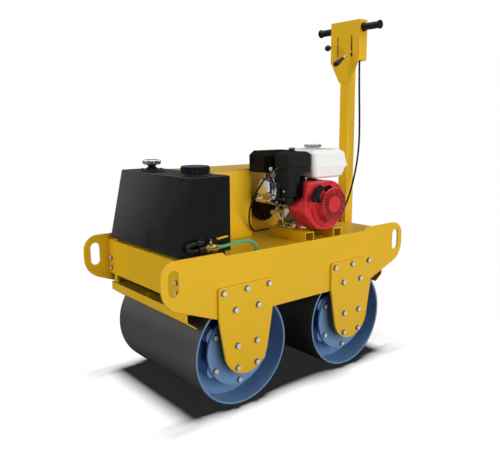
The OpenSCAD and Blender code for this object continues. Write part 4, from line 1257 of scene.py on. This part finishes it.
class ROLLER_OT_drums(bpy.types.Operator):
    """Both drums: steel shell, blue lining, webs, axle, buffers, end discs and their bolts"""
    bl_idname = "roller.drums"
    bl_label = "Drums"

    def execute(self, context):
        for end, x in (("front", WHEEL_X), ("rear", -WHEEL_X)):
            at, body = (x, 0, AXLE_Z), end + "_drum"
            kit = Kit("drum_shell_" + end, body, "drum_" + end)
            kit["drum"].lathe([(210.4, -289.6), (212.3, -289.6), (213, -288.6), (213, 288.6), (212.3, 289.6),
                               (210.4, 289.6), (210.4, -289.6)], at, Y, 192)
            kit["blue"].lathe([(204, -189), (204, -289), (205, -290), (209.4, -290), (210.2, -289.2), (210.2, 289.2),
                               (209.4, 290), (205, 290), (204, 289), (204, -189)], at, Y, 192)
            kit.close()
            self.inside(end, body, at)
            self.hubs(context, end, body, at)
        return {"FINISHED"}

    def inside(self, end, body, at):
        kit = Kit("drum_discs_" + end, body, "drum_webs_" + end)
        for s in (1, -1):
            kit["blue"].lathe([(30, 180), (203.5, 180), (203.5, 190), (30, 190), (30, 180)], at, Y * s, 128)
            kit["blue"].lathe([(198, 189.5), (204, 197), (204, 189.5), (198, 189.5)], at, Y * s, 128)
        kit.close()
        kit = Kit("drum_shaft_" + end, body, "drum_axle_" + end)
        kit["blue"].tube([(at[0], -256, AXLE_Z), (at[0], 256, AXLE_Z)], 30, 48)
        kit.close()
        kit = Kit("drum_buffers_" + end, body, "buffers_" + end)
        for s in (1, -1):
            for mid in around(*at, "y", BUFFER_CIRCLE, BUFFER_ANGLES):
                kit["blue"].lathe([(0, 188), (30, 188), (30, 196), (28, 200), (27, 222), (28, 246), (30, 250),
                                   (30, 256), (0, 256)], mid, Y * s, 40)
        kit.close()

    def hubs(self, context, end, body, at):
        kit = Kit("drum_end_discs_" + end, body, "drum_hub_" + end)
        rng = random.Random(9 if end == "front" else 12)
        for s in (1, -1):
            kit["blue"].lathe([(0, 256), (143, 256), (144, 257), (144, 265), (143, 266), (44, 266), (44, 275),
                               (0, 275)], at, Y * s, 96)
            kit["zinc"].lathe([(0, 275), (22.5, 275), (22.5, 299), (21.5, 300), (0, 300)], at, Y * s, 48)
            for spot in around(at[0], s * 266, AXLE_Z, "y", BUFFER_CIRCLE, BUFFER_ANGLES):
                kit["zinc"].bolt(spot, Y * s, context.scene.roller_sizes.bolt_across / MM, 7, 12,
                                 turn=rng.uniform(0, 1))
        kit.close()


# ---------- studio ----------

CAMERA_AIM = (0.026, 0, 0.604)
LENS_SHIFT = (0.0044, 0.005)
# the room that gloss shows
WINDOW = (0.281, -0.953, 0.112)     # the way to its one bright window
WINDOW_EDGE = (0.969, 0.985)        # the window fades between these cosines off its way
BAND_EDGE = (0.22, 0.62)            # the dark band round the horizon gives way to white between these heights
# the floor, in metres but for its radius
FLOOR_RADIUS = 2600                 # mm
FLOOR_PAINT = 0.03                  # the grey that takes the lamps and the shadow
FLOOR_GLOW = 0.020                  # what the deepest shadow still shows
FLOOR_BOUNCE = 0.004                # the grey that light from the roller meets
WHITE_EDGE = (0.95, 1.6)            # the floor turns plain white between these distances
PAINTED_SHADOW_EDGE = (0.45, 0.85)          # and in gloss a painted shadow round the roller fades out between these
MIRROR_SIDES = (-0.6, 1.2)          # places across it, with the painted brightness that gloss shows at each
PAINTED_MIRROR_LEVELS = (0.14, 0.62)
# each sun: the way to it, its strength or the studio's value for it, and its width in degrees
SUNS = {
    "floor_lamp": ((0, 0, 1), 33, 10.5),
    "overhead": ((0, 0, 1), "overhead", 30),
    "near_side": ((-0.12, 0.95, 0.20), "near_side", 60),
    "tank_end": ((0.88, -0.14, 0.32), "tank_end", 50),
    "far_side": ((-0.35, -0.93, 0.10), "behind", 80),
    "handle_end": ((-0.95, 0.10, 0.10), "behind", 80),
}


def grey(level):
    return (level, level, level, 1)


class ROLLER_OT_studio(bpy.types.Operator):
    """Pale floor, soft lights and the camera"""
    bl_idname = "roller.studio"
    bl_label = "Studio"

    def execute(self, context):
        studio = context.scene.roller_studio
        self.camera(context, studio)
        self.world(context, studio)
        floor = self.floor(studio)
        self.lamps(context, studio, floor)
        context.scene.view_settings.view_transform = "Standard"
        return {"FINISHED"}

    def camera(self, context, studio):
        yaw, pitch, roll = studio.yaw, studio.pitch, studio.roll
        back = Vector((math.cos(pitch) * math.cos(yaw), math.cos(pitch) * math.sin(yaw), math.sin(pitch)))
        level = Z.cross(back).normalized()
        upright = back.cross(level)
        right = level * math.cos(roll) + upright * math.sin(roll)
        up = upright * math.cos(roll) - level * math.sin(roll)
        data = bpy.data.cameras.new("camera")
        data.lens = studio.lens
        data.sensor_width = 36
        data.sensor_fit = "HORIZONTAL"
        data.shift_x, data.shift_y = LENS_SHIFT
        obj = bpy.data.objects.new("camera", data)
        place = Vector(CAMERA_AIM) + back * studio.distance
        obj.matrix_world = Matrix(((right.x, up.x, back.x, place.x), (right.y, up.y, back.y, place.y),
                                   (right.z, up.z, back.z, place.z), (0, 0, 0, 1)))
        context.scene.collection.objects.link(obj)
        context.scene.camera = obj

    def world(self, context, studio):
        world = bpy.data.worlds.new("studio")
        world.use_nodes = True
        context.scene.world = world
        tree = world.node_tree
        soft = tree.nodes["Background"]
        soft.inputs["Color"].default_value = grey(1)
        soft.inputs["Strength"].default_value = studio.dome
        path = add_node(tree, "ShaderNodeLightPath")
        level = add_node(tree, "ShaderNodeMath", {0: self.mirrored(tree, studio), 1: path.outputs["Is Camera Ray"]},
                         operation="MAXIMUM")
        seen = add_node(tree, "ShaderNodeBackground", {"Color": grey(1), "Strength": level.outputs[0]})
        mixed = add_node(tree, "ShaderNodeMixShader", {0: self.seen_directly(tree), 1: soft.outputs[0],
                                                       2: seen.outputs[0]})
        tree.links.new(mixed.outputs[0], tree.nodes["World Output"].inputs["Surface"])

    def mirrored(self, tree, studio):
        """The room that metal and gloss show: white above, a dark band round the horizon, one soft window in it."""
        place = add_node(tree, "ShaderNodeTexCoord")
        split = add_node(tree, "ShaderNodeSeparateXYZ", {0: place.outputs["Generated"]})
        above = add_node(tree, "ShaderNodeMapRange", {"Value": split.outputs["Z"], "From Min": BAND_EDGE[0],
                         "From Max": BAND_EDGE[1], "To Min": studio.horizon, "To Max": 1.0},
                         interpolation_type="SMOOTHSTEP")
        window = add_node(tree, "ShaderNodeVectorMath", {0: place.outputs["Generated"], 1: WINDOW},
                          operation="DOT_PRODUCT")
        glow = add_node(tree, "ShaderNodeMapRange", {"Value": window.outputs["Value"], "From Min": WINDOW_EDGE[0],
                        "From Max": WINDOW_EDGE[1]}, interpolation_type="SMOOTHSTEP")
        return add_node(tree, "ShaderNodeMath", {0: above.outputs["Result"], 1: glow.outputs["Result"]},
                        operation="MAXIMUM").outputs[0]

    def seen_directly(self, tree):
        """1 for rays from the camera, a mirror or glass, 0 for the rest."""
        path = add_node(tree, "ShaderNodeLightPath")
        first = add_node(tree, "ShaderNodeMath", {0: path.outputs["Is Camera Ray"],
                                                  1: path.outputs["Is Glossy Ray"]}, operation="MAXIMUM")
        second = add_node(tree, "ShaderNodeMath", {0: first.outputs[0],
                                                   1: path.outputs["Is Transmission Ray"]}, operation="MAXIMUM")
        return second.outputs[0]

    def floor(self, studio):
        """A pale floor that runs out to plain white and keeps the roller's shadow."""
        form = Form()
        rim = arc(0, 0, FLOOR_RADIUS, 0, 354, 59)
        form.faces([(a, b, 0) for a, b in rim], [tuple(range(len(rim)))])
        paint = bpy.data.materials.new("Pale floor")
        paint.use_nodes = True
        tree = paint.node_tree
        tree.nodes.remove(tree.nodes["Principled BSDF"])
        # near the roller it takes the shadow, further out it is plain white
        pale = add_node(tree, "ShaderNodeBsdfDiffuse", {"Color": grey(FLOOR_PAINT)})
        least = add_node(tree, "ShaderNodeEmission", {"Color": grey(1), "Strength": FLOOR_GLOW})
        near = add_node(tree, "ShaderNodeAddShader", {0: pale.outputs[0], 1: least.outputs[0]})
        away = add_node(tree, "ShaderNodeEmission", {"Color": grey(1), "Strength": 1.0})
        shape = add_node(tree, "ShaderNodeNewGeometry")
        reach = add_node(tree, "ShaderNodeVectorMath", {0: shape.outputs["Position"]}, operation="LENGTH")
        far = add_node(tree, "ShaderNodeMapRange", {"Value": reach.outputs["Value"], "From Min": WHITE_EDGE[0],
                                                    "From Max": WHITE_EDGE[1]}, interpolation_type="SMOOTHSTEP")
        lit = add_node(tree, "ShaderNodeMixShader", {0: far.outputs["Result"], 1: near.outputs[0],
                                                     2: away.outputs[0]})
        # gloss gets its own painted level, with a painted shadow, and light that bounces gets next to none
        mirror = add_node(tree, "ShaderNodeEmission", {"Color": grey(1), "Strength": self.painted_gloss_level(tree)})
        path = add_node(tree, "ShaderNodeLightPath")
        view = add_node(tree, "ShaderNodeMixShader", {0: path.outputs["Is Glossy Ray"], 1: lit.outputs[0],
                                                      2: mirror.outputs[0]})
        dim = add_node(tree, "ShaderNodeBsdfDiffuse", {"Color": grey(FLOOR_BOUNCE)})
        mixed = add_node(tree, "ShaderNodeMixShader", {0: self.seen_directly(tree), 1: dim.outputs[0],
                                                       2: view.outputs[0]})
        tree.links.new(mixed.outputs[0], tree.nodes["Material Output"].inputs["Surface"])
        floor = form.make("floor", None, [paint])
        floor.modifiers.clear()
        return floor

    def painted_gloss_level(self, tree):
        """How bright a mirror shows the floor, painted by place: a painted shadow round the roller, and painted light
        brightest out on the starter side.
        """
        shape = add_node(tree, "ShaderNodeNewGeometry")
        split = add_node(tree, "ShaderNodeSeparateXYZ", {0: shape.outputs["Position"]})
        across = add_node(tree, "ShaderNodeMapRange", {"Value": split.outputs["Y"], "From Min": MIRROR_SIDES[0],
                          "From Max": MIRROR_SIDES[1], "To Min": PAINTED_MIRROR_LEVELS[0], "To Max": PAINTED_MIRROR_LEVELS[1]})
        reach = add_node(tree, "ShaderNodeVectorMath", {0: shape.outputs["Position"]}, operation="LENGTH")
        outside_painted_shadow = add_node(tree, "ShaderNodeMapRange", {"Value": reach.outputs["Value"], "From Min": PAINTED_SHADOW_EDGE[0],
                             "From Max": PAINTED_SHADOW_EDGE[1], "To Min": 0.02, "To Max": 1.0},
                             interpolation_type="SMOOTHSTEP")
        return add_node(tree, "ShaderNodeMath", {0: across.outputs["Result"], 1: outside_painted_shadow.outputs["Result"]},
                        operation="MULTIPLY").outputs[0]

    def lamps(self, context, studio, floor):
        """Wide soft suns on every side of the roller, and one that only the floor gets."""
        apart = {}
        for state in ("INCLUDE", "EXCLUDE"):
            apart[state] = bpy.data.collections.new("Floor " + state.lower() + "d")
            apart[state].objects.link(floor)
            apart[state].collection_objects[0].light_linking.link_state = state
        for name, (way, strength, width) in SUNS.items():
            data = bpy.data.lights.new(name, "SUN")
            data.energy = math.pi * (getattr(studio, strength) if isinstance(strength, str) else strength)
            data.angle = math.radians(width)
            lamp = bpy.data.objects.new(name, data)
            lamp.rotation_euler = Vector(way).to_track_quat("Z", "Y").to_euler()
            lamp.visible_glossy = False
            context.scene.collection.objects.link(lamp)
            lamp.light_linking.receiver_collection = apart["INCLUDE" if name == "floor_lamp" else "EXCLUDE"]


PIECES = (ROLLER_OT_chassis, ROLLER_OT_hangers, ROLLER_OT_scrapers, ROLLER_OT_tank, ROLLER_OT_plumbing,
          ROLLER_OT_housing, ROLLER_OT_rails, ROLLER_OT_engine_block, ROLLER_OT_carburettor, ROLLER_OT_shroud,
          ROLLER_OT_fuel, ROLLER_OT_air, ROLLER_OT_cables, ROLLER_OT_handle, ROLLER_OT_controls, ROLLER_OT_drums,
          ROLLER_OT_studio)


class ROLLER_PT_sidebar(bpy.types.Panel):
    """Lists the roller's pieces and settings"""
    bl_label = "Roller"
    bl_idname = "ROLLER_PT_sidebar"
    bl_space_type = "VIEW_3D"
    bl_region_type = "UI"
    bl_category = "Roller"

    def draw(self, context):
        for piece in PIECES:
            self.layout.operator(piece.bl_idname)
        for name, group in GROUPS.items():
            box = self.layout.box()
            for key in group.__annotations__:
                box.prop(getattr(context.scene, name), key)


def register():
    for cls in (*GROUPS.values(), *PIECES, ROLLER_PT_sidebar):
        bpy.utils.register_class(cls)
    for name, group in GROUPS.items():
        setattr(bpy.types.Scene, name, PointerProperty(type=group))


def unregister():
    for name in GROUPS:
        delattr(bpy.types.Scene, name)
    for cls in reversed((*GROUPS.values(), *PIECES, ROLLER_PT_sidebar)):
        bpy.utils.unregister_class(cls)


def main():
    register()
    for piece in PIECES:
        getattr(bpy.ops.roller, piece.bl_idname.split(".")[1])()


if __name__ == "__main__":
    main()
